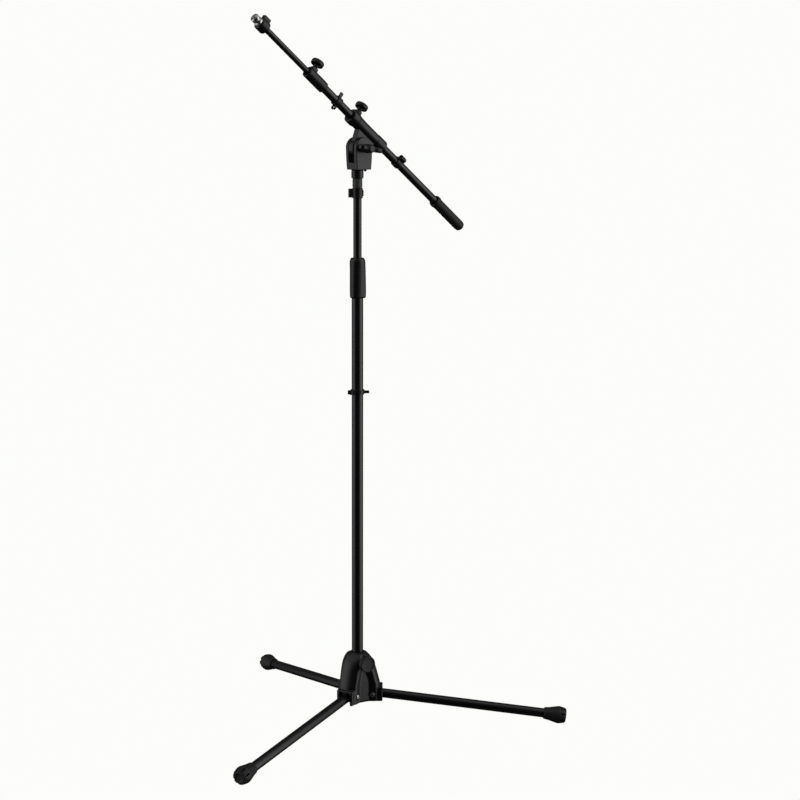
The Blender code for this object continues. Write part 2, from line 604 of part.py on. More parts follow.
def main_clamp(tilt):
    """The clamp that the boom slides in, cast in one with the disc that tilts in the yoke."""
    bore = BOOM_TUBE_RADIUS + 0.0014
    barrel = [
        (0, MAIN_MOUTH),
        (0.0136, MAIN_MOUTH),
        (0.0146, MAIN_MOUTH - 0.0012),
        (0.0146, MAIN_MOUTH - 0.0150),
        (0.0125, MAIN_MOUTH - 0.0220),
        (0.0120, MAIN_REAR + 0.0250),
        (0.0128, MAIN_REAR + 0.0230),
        (0.0128, MAIN_REAR + 0.0012),
        (0.0118, MAIN_REAR),
        (0, MAIN_REAR),
    ]
    along = place(0, 0, BOOM_OFFSET) @ ALONG_X
    clamp = turned("main_clamp_body", barrel, CASTING, tilt, along, steps=24)
    web_half = YOKE_HALF_WIDTH - YOKE_WALL - 0.0018
    neck = [(0.0240, BOOM_OFFSET - 0.0105), (-0.0250, BOOM_OFFSET - 0.0105)]
    web = plate("clamp_web", neck + arc(0, 0, DISC_RADIUS, 165, 375, 12), web_half, CASTING, tilt,
                cutter=True)
    at_knob = place(MAIN_KNOB, 0, BOOM_OFFSET)
    boss = rod("main_boss", 0.0070, 0.0040, 0.0185, CASTING, tilt, at_knob, 0.0006, 16, True)
    join(clamp, web, boss)
    tube_hole = rod("main_bore", bore, -0.2, 0.2, None, tilt, along, steps=24, cutter=True)
    pin_hole = rod("clamp_pin_hole", PIN_RADIUS + GAP, -0.03, 0.03, None, tilt, ALONG_Y, steps=12,
                   cutter=True)
    screw_hole = rod("main_screw_hole", STUD_RADIUS + GAP, 0.0050, 0.03, None, tilt, at_knob, steps=12,
                     cutter=True)
    cut(clamp, tube_hole, pin_hole, screw_hole)

    liner = pipe("main_clamp_liner", bore - GAP, BOOM_TUBE_RADIUS + GAP, MAIN_REAR + 0.001,
                 MAIN_MOUTH - 0.001, NYLON, tilt, along, steps=24)
    cut(liner, rod("liner_window", 0.0032, 0.0040, 0.03, None, tilt, at_knob, steps=12, cutter=True))
    for side, sign in (("left", -1), ("right", 1)):
        low = web_half + GAP
        washer = [(PIN_RADIUS + GAP, 0.0015 + low - GAP), (0.0150, 0.0015 + low - GAP), (0.0150, low),
                  (PIN_RADIUS + GAP, low)]
        turned(f"friction_disc_{side}", washer, BRASS, tilt, place(turn=(-90 * sign, "X")), ring=True,
               steps=24)
    clamp_knob("main_clamp", tilt, MAIN_KNOB, 0.0310, BOOM_TUBE_RADIUS + GAP)


# ---------------------------------------------------------------- boom
def boom(tilt):
    """The boom tube and all that it carries: clips, grip, and the clamp for the inner rod."""
    along = place(0, 0, BOOM_OFFSET) @ ALONG_X
    inner = BOOM_TUBE_RADIUS - BOOM_WALL
    pipe("boom_tube", BOOM_TUBE_RADIUS, inner, GRIP_END + 0.008, TELE_MOUTH - 0.018, POWDER, tilt, along)

    bore = BOOM_ROD_RADIUS + 0.0014
    sleeve = BOOM_TUBE_RADIUS + GAP
    body = [
        (bore + 0.0016, TELE_MOUTH - 0.0004),
        (0.0098, TELE_MOUTH),
        (0.0112, TELE_MOUTH - 0.0010),
        (0.0112, TELE_REAR + 0.0100),
        (0.0106, TELE_REAR + 0.0010),
        (0.0100, TELE_REAR),
        (sleeve, TELE_REAR),
        (sleeve, TELE_MOUTH - 0.0177),
        (bore, TELE_MOUTH - 0.0177),
        (bore, TELE_MOUTH - 0.0040),
    ]
    clamp = turned("tele_clamp_body", body, NYLON, tilt, along, ring=True)
    at_knob = place(TELE_KNOB, 0, BOOM_OFFSET)
    boss = block("tele_boss", (-0.0070, -0.0050, 0.0080), (0.0060, 0.0050, 0.0165), NYLON, tilt, at_knob,
                 True, 0.001)
    join(clamp, boss)
    screw_hole = rod("tele_screw_hole", STUD_RADIUS + GAP, 0.0030, 0.03, None, tilt, at_knob, steps=12,
                     cutter=True)
    cut(clamp, screw_hole)
    clamp_knob("tele_clamp", tilt, TELE_KNOB, 0.0280, BOOM_ROD_RADIUS + GAP)

    eye_down = place(turn=(90, "Y"))
    clips = ("front", CLIP_FRONT, 0.0, 0.0120), ("rear", CLIP_REAR, 180.0, 0.0)
    for name, station, eye_turn, tab in clips:
        cable_clip(f"boom_clip_{name}", BOOM_TUBE_RADIUS + GAP, 0.0125, tilt,
                   place(station, 0, BOOM_OFFSET) @ eye_down @ place(turn=(180, "Z")),
                   eye_turn=eye_turn, tab=tab)

    grip = [
        (0, GRIP_END + 0.0040),
        (sleeve, GRIP_END + 0.0040),
        (sleeve, GRIP_MOUTH - 0.0050),
        (0.0098, GRIP_MOUTH - 0.0050),
        (0.0098, GRIP_MOUTH),
        (0.0112, GRIP_MOUTH),
        (0.0119, GRIP_MOUTH - 0.0010),
        (0.0119, GRIP_MOUTH - 0.0060),
        (0.0106, GRIP_MOUTH - 0.0085),
        (0.0106, GRIP_END + 0.0060),
        (0.0092, GRIP_END + 0.0016),
        (0.0060, GRIP_END),
        (0, GRIP_END),
    ]
    turned("boom_grip", grip, RUBBER, tilt, along)
    pipe("grip_ring", 0.0113, 0.0099, GRIP_MOUTH + GAP, GRIP_MOUTH + 0.0012, BRASS, tilt, along)
    rod("boom_end_plug", inner - GAP, GRIP_END + 0.010, GRIP_END + 0.022, NYLON, tilt, along, 0.0006)


def boom_rod(tilt):
    """The thin rod that telescopes out of the boom, with its guide, lock nut and thread."""
    along = place(0, 0, BOOM_OFFSET) @ ALONG_X
    inner = BOOM_ROD_RADIUS - BOOM_WALL
    rod_rear = -0.135
    pipe("boom_rod", BOOM_ROD_RADIUS, inner, rod_rear, NUT_REAR + 0.010, POWDER, tilt, along, steps=20)
    guide = BOOM_TUBE_RADIUS - BOOM_WALL - GAP
    turned("rod_guide_bush", [
        (0, rod_rear + 0.010), (inner - GAP, rod_rear + 0.010), (inner - GAP, rod_rear - GAP),
        (guide, rod_rear - GAP), (guide, rod_rear - 0.012), (0, rod_rear - 0.012),
    ], NYLON, tilt, along, steps=20)
    base = NUT_REAR + 0.010 + GAP
    turned("mic_thread", [
        (0, THREAD_FRONT), (THREAD_RADIUS - 0.0008, THREAD_FRONT), (THREAD_RADIUS, THREAD_FRONT - 0.0008),
        (THREAD_RADIUS, NUT_FRONT + 0.0032), (0.0090, NUT_FRONT + 0.0026), (0.0090, NUT_FRONT + GAP),
        (0.0056, NUT_FRONT + GAP), (0.0056, base), (inner - GAP, base), (inner - GAP, base - 0.012),
        (0, base - 0.012),
    ], CHROME, tilt, along, steps=24)
    nut = turned("lock_nut", [
        (0.0062, NUT_FRONT), (0.0112, NUT_FRONT), (0.0124, NUT_FRONT - 0.0012),
        (0.0124, NUT_REAR + 0.0020), (0.0108, NUT_REAR), (0.0062, NUT_REAR),
    ], NYLON, tilt, along, ring=True)
    wing = block("nut_wing", (NUT_REAR + 0.0006, -0.0048, 0.0085), (NUT_FRONT - 0.0006, 0.0048, 0.0185),
                 NYLON, tilt, place(z=BOOM_OFFSET), True, 0.0016)
    join(nut, wing)


def build():
    mast = empty("mast_axis", None, place(MAST_X))
    knob_axis = hub_casting(mast)
    hub_knob(mast, knob_axis)
    for name, azimuth in LEG_AZIMUTHS.items():
        leg(mast, name, azimuth)
    lower_mast(mast)
    upper_mast(mast)
    head = boom_head(mast)
    tilt = empty("boom_tilt", head, place(turn=(-BOOM_RISE, "Y")))
    main_clamp(tilt)
    boom(tilt)
    boom_rod(tilt)
    smooth_round_pieces()


build()
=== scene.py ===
"""Boom microphone stand: the finished look of every piece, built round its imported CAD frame.

Metres, +Z up. Each class is one sub-assembly. Its fields hold the sizes that the frame doesn't give,
its methods build the meshes, and every piece rides on one of the frame's bodies.
"""

import json
import logging
import math
from dataclasses import dataclass, field
from enum import Enum
from typing import Any

import bmesh
import bpy
from mathutils import Matrix, Vector


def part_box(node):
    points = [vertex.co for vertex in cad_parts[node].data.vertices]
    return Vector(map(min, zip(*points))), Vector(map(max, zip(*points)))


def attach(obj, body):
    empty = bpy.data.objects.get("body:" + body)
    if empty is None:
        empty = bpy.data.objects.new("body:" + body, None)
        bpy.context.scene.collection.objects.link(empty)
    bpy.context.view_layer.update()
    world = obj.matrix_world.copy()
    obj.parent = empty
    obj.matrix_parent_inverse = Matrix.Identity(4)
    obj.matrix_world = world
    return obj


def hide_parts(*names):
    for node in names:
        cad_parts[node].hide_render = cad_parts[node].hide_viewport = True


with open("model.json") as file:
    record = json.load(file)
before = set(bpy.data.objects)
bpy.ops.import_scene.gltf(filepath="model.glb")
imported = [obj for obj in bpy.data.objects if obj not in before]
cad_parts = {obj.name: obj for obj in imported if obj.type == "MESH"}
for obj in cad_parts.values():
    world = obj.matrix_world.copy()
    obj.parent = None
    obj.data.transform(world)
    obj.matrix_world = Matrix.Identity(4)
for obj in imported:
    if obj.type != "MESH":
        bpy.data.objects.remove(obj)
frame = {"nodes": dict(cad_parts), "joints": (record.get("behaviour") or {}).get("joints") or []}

LOG = logging.getLogger("microphone_stand")
MM = 0.001
SIDES = 72  # facets round a turned piece
CLEARANCE = 0.3 * MM  # gap between pieces that touch
BOLT_RADIUS = 3.0 * MM  # the pivot bolts and the hub knob's stud
BOLT_HOLE = BOLT_RADIUS + CLEARANCE
STUD_RADIUS = 2.4 * MM  # the studs of the boom's two knobs
STUD_HOLE = STUD_RADIUS + CLEARANCE
BUSH_WALL = 1.4 * MM  # the boom's bushes
THROUGH = 50 * MM  # half the length of a cutter that goes right through

Outline = list[tuple[float, float]]
Stops = tuple[tuple[float, float], ...]


# ---------------------------------------------------------------- small tools
def linear(colour: str) -> tuple[float, float, float, float]:
    """Turns an sRGB hex colour to linear RGBA.

    Args:
        colour: Six hex digits with a leading #.

    Returns:
        Linear red, green and blue, and an alpha of 1.
    """
    parts = [int(colour[i : i + 2], 16) / 255 for i in (1, 3, 5)]
    curve = [c / 12.92 if c <= 0.04045 else ((c + 0.055) / 1.055) ** 2.4 for c in parts]
    return (*curve, 1.0)


def add_node(tree: bpy.types.NodeTree, kind: str, inputs: dict[Any, Any] | None = None,
             **settings: Any) -> bpy.types.Node:
    """Adds a node with its settings, and fills or links its inputs.

    Args:
        tree: The tree that gets the node.
        kind: The node's Blender type.
        inputs: For each input's name or number, a value or the output socket to link.
        **settings: The node's own properties.

    Returns:
        The new node.
    """
    node = tree.nodes.new(kind)
    for name, value in settings.items():
        setattr(node, name, value)
    for key, value in (inputs or {}).items():
        if isinstance(value, bpy.types.NodeSocket):
            tree.links.new(value, node.inputs[key])
        else:
            node.inputs[key].default_value = value
    return node


def basis(origin: Vector, z_axis: Vector, x_hint: Vector) -> Matrix:
    """A right-handed frame at a point.

    Args:
        origin: The frame's origin.
        z_axis: The direction of its Z.
        x_hint: A direction near its X; the part along Z is taken out.

    Returns:
        The matrix from the frame to the row frame.
    """
    z_axis = z_axis.normalized()
    x_axis = (x_hint - z_axis * x_hint.dot(z_axis)).normalized()
    matrix = Matrix((x_axis, z_axis.cross(x_axis), z_axis)).transposed().to_4x4()
    matrix.translation = origin
    return matrix


def turn(angle: float, axis: str) -> Matrix:
    """A rotation by degrees about X, Y or Z."""
    return Matrix.Rotation(math.radians(angle), 4, axis)


def shift(x: float = 0.0, y: float = 0.0, z: float = 0.0) -> Matrix:
    """A move."""
    return Matrix.Translation((x, y, z))


ALONG_X = turn(90, "Y")
ALONG_Y = turn(-90, "X")


@dataclass(frozen=True)
class Line:
    """The axis that round pieces are turned about: Z of a frame at a joint or a tube."""

    matrix: Matrix

    @classmethod
    def of_joint(cls, name: str) -> "Line":
        """The line of a hinge.

        Args:
            name: The joint's name.

        Returns:
            A line whose Z is the hinge's axis, starting at its place.
        """
        joint = joint_named(name)
        axis = Vector(joint["axis"])
        upright = abs(axis.normalized().z) > 0.99
        return cls(basis(Vector(joint["pos_m"]), axis, Vector((1, 0, 0) if upright else (0, 0, 1))))

    def span(self, node: str) -> tuple[float, float]:
        """The lowest and the highest station of a CAD node along the line."""
        inverse = self.matrix.inverted()
        stations = [(inverse @ vertex.co).z for vertex in frame["nodes"][node].data.vertices]
        return min(stations), max(stations)

    def radius(self, node: str) -> float:
        """The largest distance of a CAD node from the line."""
        inverse = self.matrix.inverted()
        return max((inverse @ vertex.co).xy.length for vertex in frame["nodes"][node].data.vertices)


def joint_named(name: str) -> dict[str, Any]:
    """The record's entry for a joint."""
    return next(joint for joint in frame["joints"] if joint["name"] == name)


# ---------------------------------------------------------------- shape makers
def rounded_outline(outline: Outline, radius: float, closed: bool, steps: int = 4) -> Outline:
    """Replaces each corner of an outline by a small arc.

    Args:
        outline: The corner points.
        radius: The arc's radius, made smaller where the sides are short.
        closed: Whether the last point joins the first.
        steps: Segments in each arc.

    Returns:
        The points of the rounded outline.
    """
    count = len(outline)
    points: Outline = []
    for index, corner in enumerate(outline):
        if not closed and index in (0, count - 1):
            points.append(corner)
            continue
        here = Vector(corner)
        before = Vector(outline[index - 1]) - here
        after = Vector(outline[(index + 1) % count]) - here
        half = before.angle(after, math.pi) / 2
        if before.length < 1e-7 or after.length < 1e-7 or half > math.radians(86):
            points.append(corner)
            continue
        cut = min(radius / math.tan(half), 0.45 * before.length, 0.45 * after.length)
        start, end = here + before.normalized() * cut, here + after.normalized() * cut
        for step in range(steps + 1):
            t = step / steps
            point = start * (1 - t) ** 2 + here * 2 * t * (1 - t) + end * t**2
            points.append((point.x, point.y))
    return points


def turned(
    profile: Outline,
    matrix: Matrix = Matrix(),
    corner: float = 0.4 * MM,
    ring: bool = False,
    lobe: float = 0.0,
    sides: int = SIDES,
) -> bpy.types.Mesh:
    """A profile turned about Z, with its corners rounded.

    Args:
        profile: (radius, height) points down the outer side.
        matrix: Places the result.
        corner: The radius of the rounded corners.
        ring: Whether the profile is a closed loop.
        lobe: How far three soft lobes stand proud at the profile's lower end.
        sides: Facets round the axis.

    Returns:
        A closed mesh.
    """
    points = rounded_outline(profile, corner, ring)
    top, bottom = max(h for _, h in points), min(h for _, h in points)
    work = bmesh.new()
    rows = []
    for radius, height in points:
        if radius < 1e-7:
            rows.append([work.verts.new((0, 0, height))])
            continue
        swell = lobe * math.sin(math.pi / 2 * min(1.0, 1.35 * (top - height) / (top - bottom)))
        row = []
        for side in range(sides):
            angle = 2 * math.pi * side / sides
            reach = radius + (swell * math.cos(3 * angle) if lobe else 0.0)
            row.append(work.verts.new((reach * math.cos(angle), reach * math.sin(angle), height)))
        rows.append(row)
    pairs = list(zip(rows, rows[1:])) + ([(rows[-1], rows[0])] if ring else [])
    for upper, lower in pairs:
        for side in range(sides):
            after = (side + 1) % sides
            corners = [upper[side % len(upper)], lower[side % len(lower)],
                       lower[after % len(lower)], upper[after % len(upper)]]
            unique = list(dict.fromkeys(corners))
            if len(unique) > 2:
                work.faces.new(unique)
    return finished_mesh(work, matrix)


def prism(outline: Outline, half: float, matrix: Matrix = Matrix(), bevel: float = 0.0) -> bpy.types.Mesh:
    """An outline in X and Z, extruded to both sides of Y = 0.

    Args:
        outline: (x, z) points of the closed outline.
        half: Half the thickness.
        matrix: Places the result.
        bevel: Rounding of its sharp edges, if any.

    Returns:
        A closed mesh.
    """
    work = bmesh.new()
    near = [work.verts.new((x, -half, z)) for x, z in outline]
    far = [work.verts.new((x, half, z)) for x, z in outline]
    count = len(outline)
    for index in range(count):
        after = (index + 1) % count
        work.faces.new((near[index], near[after], far[after], far[index]))
    work.faces.new(near)
    work.faces.new(list(reversed(far)))
    mesh = finished_mesh(work, matrix)
    if bevel:
        mesh = modified(mesh, [("BEVEL", {"width": bevel, "segments": 5, "limit_method": "ANGLE",
                                          "angle_limit": math.radians(40)})])
    return mesh


def eased(rows: list[tuple[float, ...]], steps: int) -> list[tuple[float, ...]]:
    """Fills in rows of numbers along a smooth curve through them.

    Args:
        rows: The rows that the curve passes through.
        steps: Rows made for each gap.

    Returns:
        The filled-in rows.
    """
    filled = []
    for index in range(len(rows) - 1):
        before, after = rows[max(index - 1, 0)], rows[min(index + 2, len(rows) - 1)]
        for step in range(steps):
            t = step / steps
            filled.append(tuple(
                b + t / 2 * (c - a + t * (2 * a - 5 * b + 4 * c - d + t * (3 * b - a - 3 * c + d)))
                for a, b, c, d in zip(before, rows[index], rows[index + 1], after)))
    return filled + [rows[-1]]


def stacked(sections: list[tuple[float, float, float]], nose: float, matrix: Matrix) -> bpy.types.Mesh:
    """A solid of level sections, each straight-sided from X = 0 with a rounded nose.

    Args:
        sections: (height, reach, half width) of each section, from the bottom up.
        nose: How deep the rounded nose is.
        matrix: Places the result.

    Returns:
        A closed mesh.
    """
    work = bmesh.new()
    rows = []
    for height, reach, half in sections:
        depth = min(nose, reach / 3)
        outline = [(0.0, -half)]
        outline += [(reach - depth + depth * x, half * y) for x, y in arc(1.0, -90, 90, 16)]
        outline.append((0.0, half))
        rows.append([work.verts.new((x, y, height)) for x, y in outline])
    for lower, upper in zip(rows, rows[1:]):
        for index, vertex in enumerate(lower):
            work.faces.new((lower[index - 1], vertex, upper[index], upper[index - 1]))
    work.faces.new(reversed(rows[0]))
    work.faces.new(rows[-1])
    return finished_mesh(work, matrix)


def box(low: tuple[float, float, float], high: tuple[float, float, float], matrix: Matrix = Matrix(),
        bevel: float = 0.0) -> bpy.types.Mesh:
    """A box between two corners, placed by a matrix, its edges rounded by bevel."""
    half = (high[1] - low[1]) / 2
    outline = [(low[0], low[2]), (high[0], low[2]), (high[0], high[2]), (low[0], high[2])]
    return prism(outline, half, matrix @ shift(y=(low[1] + high[1]) / 2), bevel)


def bar(radius: float, low: float, high: float, matrix: Matrix = Matrix(), corner: float = 0.0,
        sides: int = 48) -> bpy.types.Mesh:
    """A solid round bar along Z, placed by a matrix."""
    return turned([(0, high), (radius, high), (radius, low), (0, low)], matrix, corner, sides=sides)


def pipe(inner: float, outer: float, low: float, high: float, matrix: Matrix, corner: float
         ) -> bpy.types.Mesh:
    """A length of pipe along Z, placed by a matrix, its edges rounded by corner."""
    return turned([(inner, high), (outer, high), (outer, low), (inner, low)], matrix, corner, ring=True)


def arc(radius: float, start: float, end: float, steps: int) -> Outline:
    """Points along an arc round the origin, angles in degrees."""
    angles = [math.radians(start + (end - start) * step / steps) for step in range(steps + 1)]
    return [(radius * math.cos(angle), radius * math.sin(angle)) for angle in angles]


def finished_mesh(work: bmesh.types.BMesh, matrix: Matrix) -> bpy.types.Mesh:
    """Welds a bmesh, points its faces outwards, and places it in a new mesh."""
    bmesh.ops.remove_doubles(work, verts=work.verts, dist=1e-7)
    bmesh.ops.recalc_face_normals(work, faces=work.faces)
    mesh = bpy.data.meshes.new("shape")
    work.to_mesh(mesh)
    work.free()
    mesh.transform(matrix)
    return mesh


def modified(mesh: bpy.types.Mesh, steps: list[tuple[str, dict[str, Any]]]) -> bpy.types.Mesh:
    """Runs modifiers on a mesh.

    Args:
        mesh: The mesh to start from.
        steps: Each modifier's type and its settings.

    Returns:
        The resulting plain mesh.
    """
    holder = linked("holder", mesh)
    for kind, settings in steps:
        modifier = holder.modifiers.new(kind.lower(), kind)
        for name, value in settings.items():
            setattr(modifier, name, value)
    result = evaluated(holder)
    bpy.data.objects.remove(holder)
    return result


def linked(name: str, mesh: bpy.types.Mesh) -> bpy.types.Object:
    """A new object for a mesh, in the scene."""
    made = bpy.data.objects.new(name, mesh)
    bpy.context.scene.collection.objects.link(made)
    return made


def evaluated(holder: bpy.types.Object) -> bpy.types.Mesh:
    """The plain mesh that an object's modifiers make."""
    bpy.context.view_layer.update()
    graph = bpy.context.evaluated_depsgraph_get()
    return bpy.data.meshes.new_from_object(holder.evaluated_get(graph))


def cast(
    solids: list[bpy.types.Mesh], cutters: list[bpy.types.Mesh], grid: float, passes: int = 5
) -> bpy.types.Mesh:
    """Joins solids, cuts holes and softens every edge, as a casting or moulding has them.

    Args:
        solids: Closed meshes that become one body.
        cutters: Closed meshes taken out of it.
        grid: The voxel size; edges come out with a radius of about two voxels.
        passes: Smoothing passes.

    Returns:
        One closed mesh.
    """
    tools = []
    steps: list[tuple[str, dict[str, Any]]] = []
    for operation, meshes in (("UNION", solids[1:]), ("DIFFERENCE", cutters)):
        for mesh in meshes:
            tool = linked("tool", mesh)
            tools.append(tool)
            steps.append(("BOOLEAN", {"operation": operation, "solver": "MANIFOLD", "object": tool}))
    steps.append(("REMESH", {"mode": "VOXEL", "voxel_size": grid, "use_smooth_shade": True}))
    steps.append(("SMOOTH", {"factor": 0.5, "iterations": passes}))
    result = modified(solids[0], steps)
    for tool in tools:
        bpy.data.objects.remove(tool)
    return result


class NodeTool:
    """A Geometry Nodes tree that makes one mesh and is then taken off again."""

    def __init__(self, name: str, sizes: dict[str, float]) -> None:
        """Starts a tree with one named input for each size.

        Args:
            name: The tree's name.
            sizes: Each input's name and value; whole numbers become integer inputs.
        """
        self.sizes = sizes
        self.tree = bpy.data.node_groups.new(name, "GeometryNodeTree")
        face = self.tree.interface
        face.new_socket("Geometry", in_out="INPUT", socket_type="NodeSocketGeometry")
        for label, value in sizes.items():
            kind = "NodeSocketInt" if isinstance(value, int) else "NodeSocketFloat"
            face.new_socket(label, in_out="INPUT", socket_type=kind)
        face.new_socket("Geometry", in_out="OUTPUT", socket_type="NodeSocketGeometry")
        self.inputs = add_node(self.tree, "NodeGroupInput").outputs

    def close(self, geometry: bpy.types.NodeSocket, material: bpy.types.Material) -> None:
        """Ends the tree: realizes instances, sets the material and gives the output.

        Args:
            geometry: The geometry to give out.
            material: The finish it gets.
        """
        real = add_node(self.tree, "GeometryNodeRealizeInstances", {0: geometry})
        smooth = add_node(self.tree, "GeometryNodeSetShadeSmooth", {"Geometry": real.outputs[0]})
        dressed = add_node(self.tree, "GeometryNodeSetMaterial",
                           {"Geometry": smooth.outputs[0], "Material": material})
        add_node(self.tree, "NodeGroupOutput", {0: dressed.outputs[0]})

    def bake(self, mesh: bpy.types.Mesh) -> bpy.types.Mesh:
        """Runs the tree on a mesh.

        Args:
            mesh: The mesh that the tree starts from.

        Returns:
            The plain mesh that the tree makes.
        """
        holder = linked("holder", mesh)
        modifier = holder.modifiers.new("nodes", "NODES")
        modifier.node_group = self.tree
        for item in self.tree.interface.items_tree:
            if item.in_out == "INPUT" and item.name in self.sizes:
                modifier[item.identifier] = self.sizes[item.name]
        result = evaluated(holder)
        bpy.data.objects.remove(holder)
        return result


# ---------------------------------------------------------------- finishes
class Relief(Enum):
    """The kind of fine relief that a surface carries."""

    ORANGE_PEEL = "orange peel"
    SPARK = "spark texture"
    TURNED = "turning lines"


@dataclass(frozen=True)
class Finish:
    """A surface: its colour and gloss with their slow drift, and its fine relief."""

    name: str
    colour: str
    drift_colour: str
    roughness: float
    roughness_drift: float
    relief: Relief
    grain: float  # spacing of the relief, metres
    depth: float  # height of the relief, metres
    metallic: float = 0.0
    specular: float = 0.5
    patch: float = 42 * MM  # size of the patches in which colour and gloss drift

    def material(self) -> bpy.types.Material:
        """The material, built on first use."""
        found = bpy.data.materials.get(self.name)
        if found:
            return found
        made = bpy.data.materials.new(self.name)
        made.use_nodes = True
        tree = made.node_tree
        shader = tree.nodes["Principled BSDF"]
        shader.inputs["Metallic"].default_value = self.metallic
        shader.inputs["Specular IOR Level"].default_value = self.specular
        place = add_node(tree, "ShaderNodeTexCoord").outputs["Object"]
        patches = add_node(tree, "ShaderNodeTexNoise",
                           {"Vector": place, "Scale": 1 / self.patch, "Detail": 4.0, "Roughness": 0.6})
        colour = add_node(tree, "ShaderNodeMix", {
            0: patches.outputs[0], 6: linear(self.colour), 7: linear(self.drift_colour)},
            data_type="RGBA")
        gloss = add_node(tree, "ShaderNodeMapRange", {
            "Value": patches.outputs[0],
            "From Min": 0.3, "From Max": 0.7,
            "To Min": self.roughness - self.roughness_drift,
            "To Max": self.roughness + self.roughness_drift})
        bump = add_node(tree, "ShaderNodeBump", {
            "Height": self.height(tree, place), "Strength": 1.0, "Distance": self.depth})
        tree.links.new(colour.outputs[2], shader.inputs["Base Color"])
        tree.links.new(gloss.outputs[0], shader.inputs["Roughness"])
        tree.links.new(bump.outputs[0], shader.inputs["Normal"])
        return made

    def height(self, tree: bpy.types.NodeTree, place: bpy.types.NodeSocket) -> bpy.types.NodeSocket:
        """Adds the relief's height pattern.

        Args:
            tree: The material's tree.
            place: The coordinates that the pattern follows.

        Returns:
            The socket that gives the height, from 0 to 1.
        """
        scale = 1 / self.grain
        if self.relief is Relief.SPARK:
            pits = add_node(tree, "ShaderNodeTexVoronoi",
                            {"Vector": place, "Scale": scale, "Randomness": 1.0}, feature="SMOOTH_F1")
            fine = add_node(tree, "ShaderNodeTexNoise", {"Vector": place, "Scale": scale * 0.4})
            return add_node(tree, "ShaderNodeMath", {0: pits.outputs[0], 1: fine.outputs[0]},
                            operation="ADD").outputs[0]
        if self.relief is Relief.TURNED:
            lines = add_node(tree, "ShaderNodeTexNoise",
                             {"Vector": place, "Scale": scale, "Detail": 2.0, "Distortion": 1.5})
            return lines.outputs[0]
        peel = add_node(tree, "ShaderNodeTexNoise",
                        {"Vector": place, "Scale": scale, "Detail": 1.0, "Roughness": 0.4})
        return peel.outputs[0]


# Each relief's spacing is the real one where that shows. Spark texture (0.05 mm) and turning lines
# (0.1 mm) are too fine to show, so they are drawn about ten times coarser and shallow.
# Powder coat: polyester powder baked on steel tube, a deep satin black with a faint orange peel.
POWDER = Finish("satin_powder_coat", "#0b0c0c", "#101111", 0.29, 0.03, Relief.ORANGE_PEEL,
                2.6 * MM, 0.003 * MM)
# Blackened steel: a thin grey-black oxide on the turned neck, lighter and duller than paint.
BLACKENED = Finish("blackened_steel", "#3c3f3c", "#474a47", 0.50, 0.05, Relief.TURNED,
                   1.4 * MM, 0.006 * MM, specular=0.4)
# Painted zinc die casting: thicker paint over a cast skin, a little rougher, with a coarser peel.
CASTING = Finish("painted_die_casting", "#0b0c0c", "#111212", 0.34, 0.04, Relief.ORANGE_PEEL,
                 2.0 * MM, 0.010 * MM, specular=0.42)
# Glass-filled nylon: moulded in a spark-eroded tool, so its highlights are soft.
NYLON = Finish("moulded_black_nylon", "#0b0c0c", "#121313", 0.38, 0.04, Relief.SPARK, 0.9 * MM,
               0.010 * MM, specular=0.38)
# Moulded rubber: nearly matt, with a slow bloom that lifts the black.
RUBBER = Finish("moulded_black_rubber", "#0e0f0f", "#171817", 0.56, 0.05, Relief.SPARK, 1.2 * MM,
                0.014 * MM, specular=0.40)
# Bright chrome on a turned thread.
CHROME = Finish("chrome_plate", "#d9dad8", "#c4c5c2", 0.16, 0.05, Relief.TURNED, 1.4 * MM, 0.010 * MM,
                metallic=1.0, patch=6 * MM)
# Zinc plate on bolts: cooler and duller than chrome, with a cloudy passivation.
ZINC = Finish("zinc_plate", "#b9b7ae", "#98968c", 0.34, 0.08, Relief.TURNED, 1.2 * MM, 0.012 * MM,
              metallic=1.0, patch=5 * MM)
# Brass ring gone brown with age.
BRASS = Finish("aged_brass", "#6e5f48", "#4c4236", 0.42, 0.08, Relief.TURNED, 1.2 * MM, 0.012 * MM,
               metallic=1.0, patch=5 * MM)


# ---------------------------------------------------------------- pieces
class SubAssembly:
    """A group of pieces that the maker would put together on one bench."""

    def piece(self, name: str, mesh: bpy.types.Mesh, finish: Finish, body: str, *nodes: str) -> None:
        """Dresses a mesh and hangs it on the frame.

        Args:
            name: The piece's name.
            mesh: Its mesh, in the row frame.
            finish: Its surface.
            body: The CAD body that it rides on.
            *nodes: The CAD nodes that it stands for.
        """
        mesh.name = name
        mesh.materials.clear()
        mesh.materials.append(finish.material())
        mesh.shade_smooth()
        mesh.set_sharp_from_angle(angle=math.radians(42))
        made = linked(name, mesh)
        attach(made, body)
        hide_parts(*nodes)
        LOG.info("%s: %d faces on %s", name, len(mesh.polygons), body)

    def tube(self, name: str, line: Line, wall: float, finish: Finish, body: str, node: str) -> None:
        """A tube where the frame has it, with its ends deburred.

        Args:
            name: The piece's name.
            line: The tube's axis.
            wall: Its wall thickness.
            finish: Its surface.
            body: The CAD body that it rides on.
            node: The CAD node that it stands for.
        """
        low, high = line.span(node)
        outer = line.radius(node)
        self.piece(name, pipe(outer - wall, outer, low, high, line.matrix, 0.35 * MM), finish, body, node)


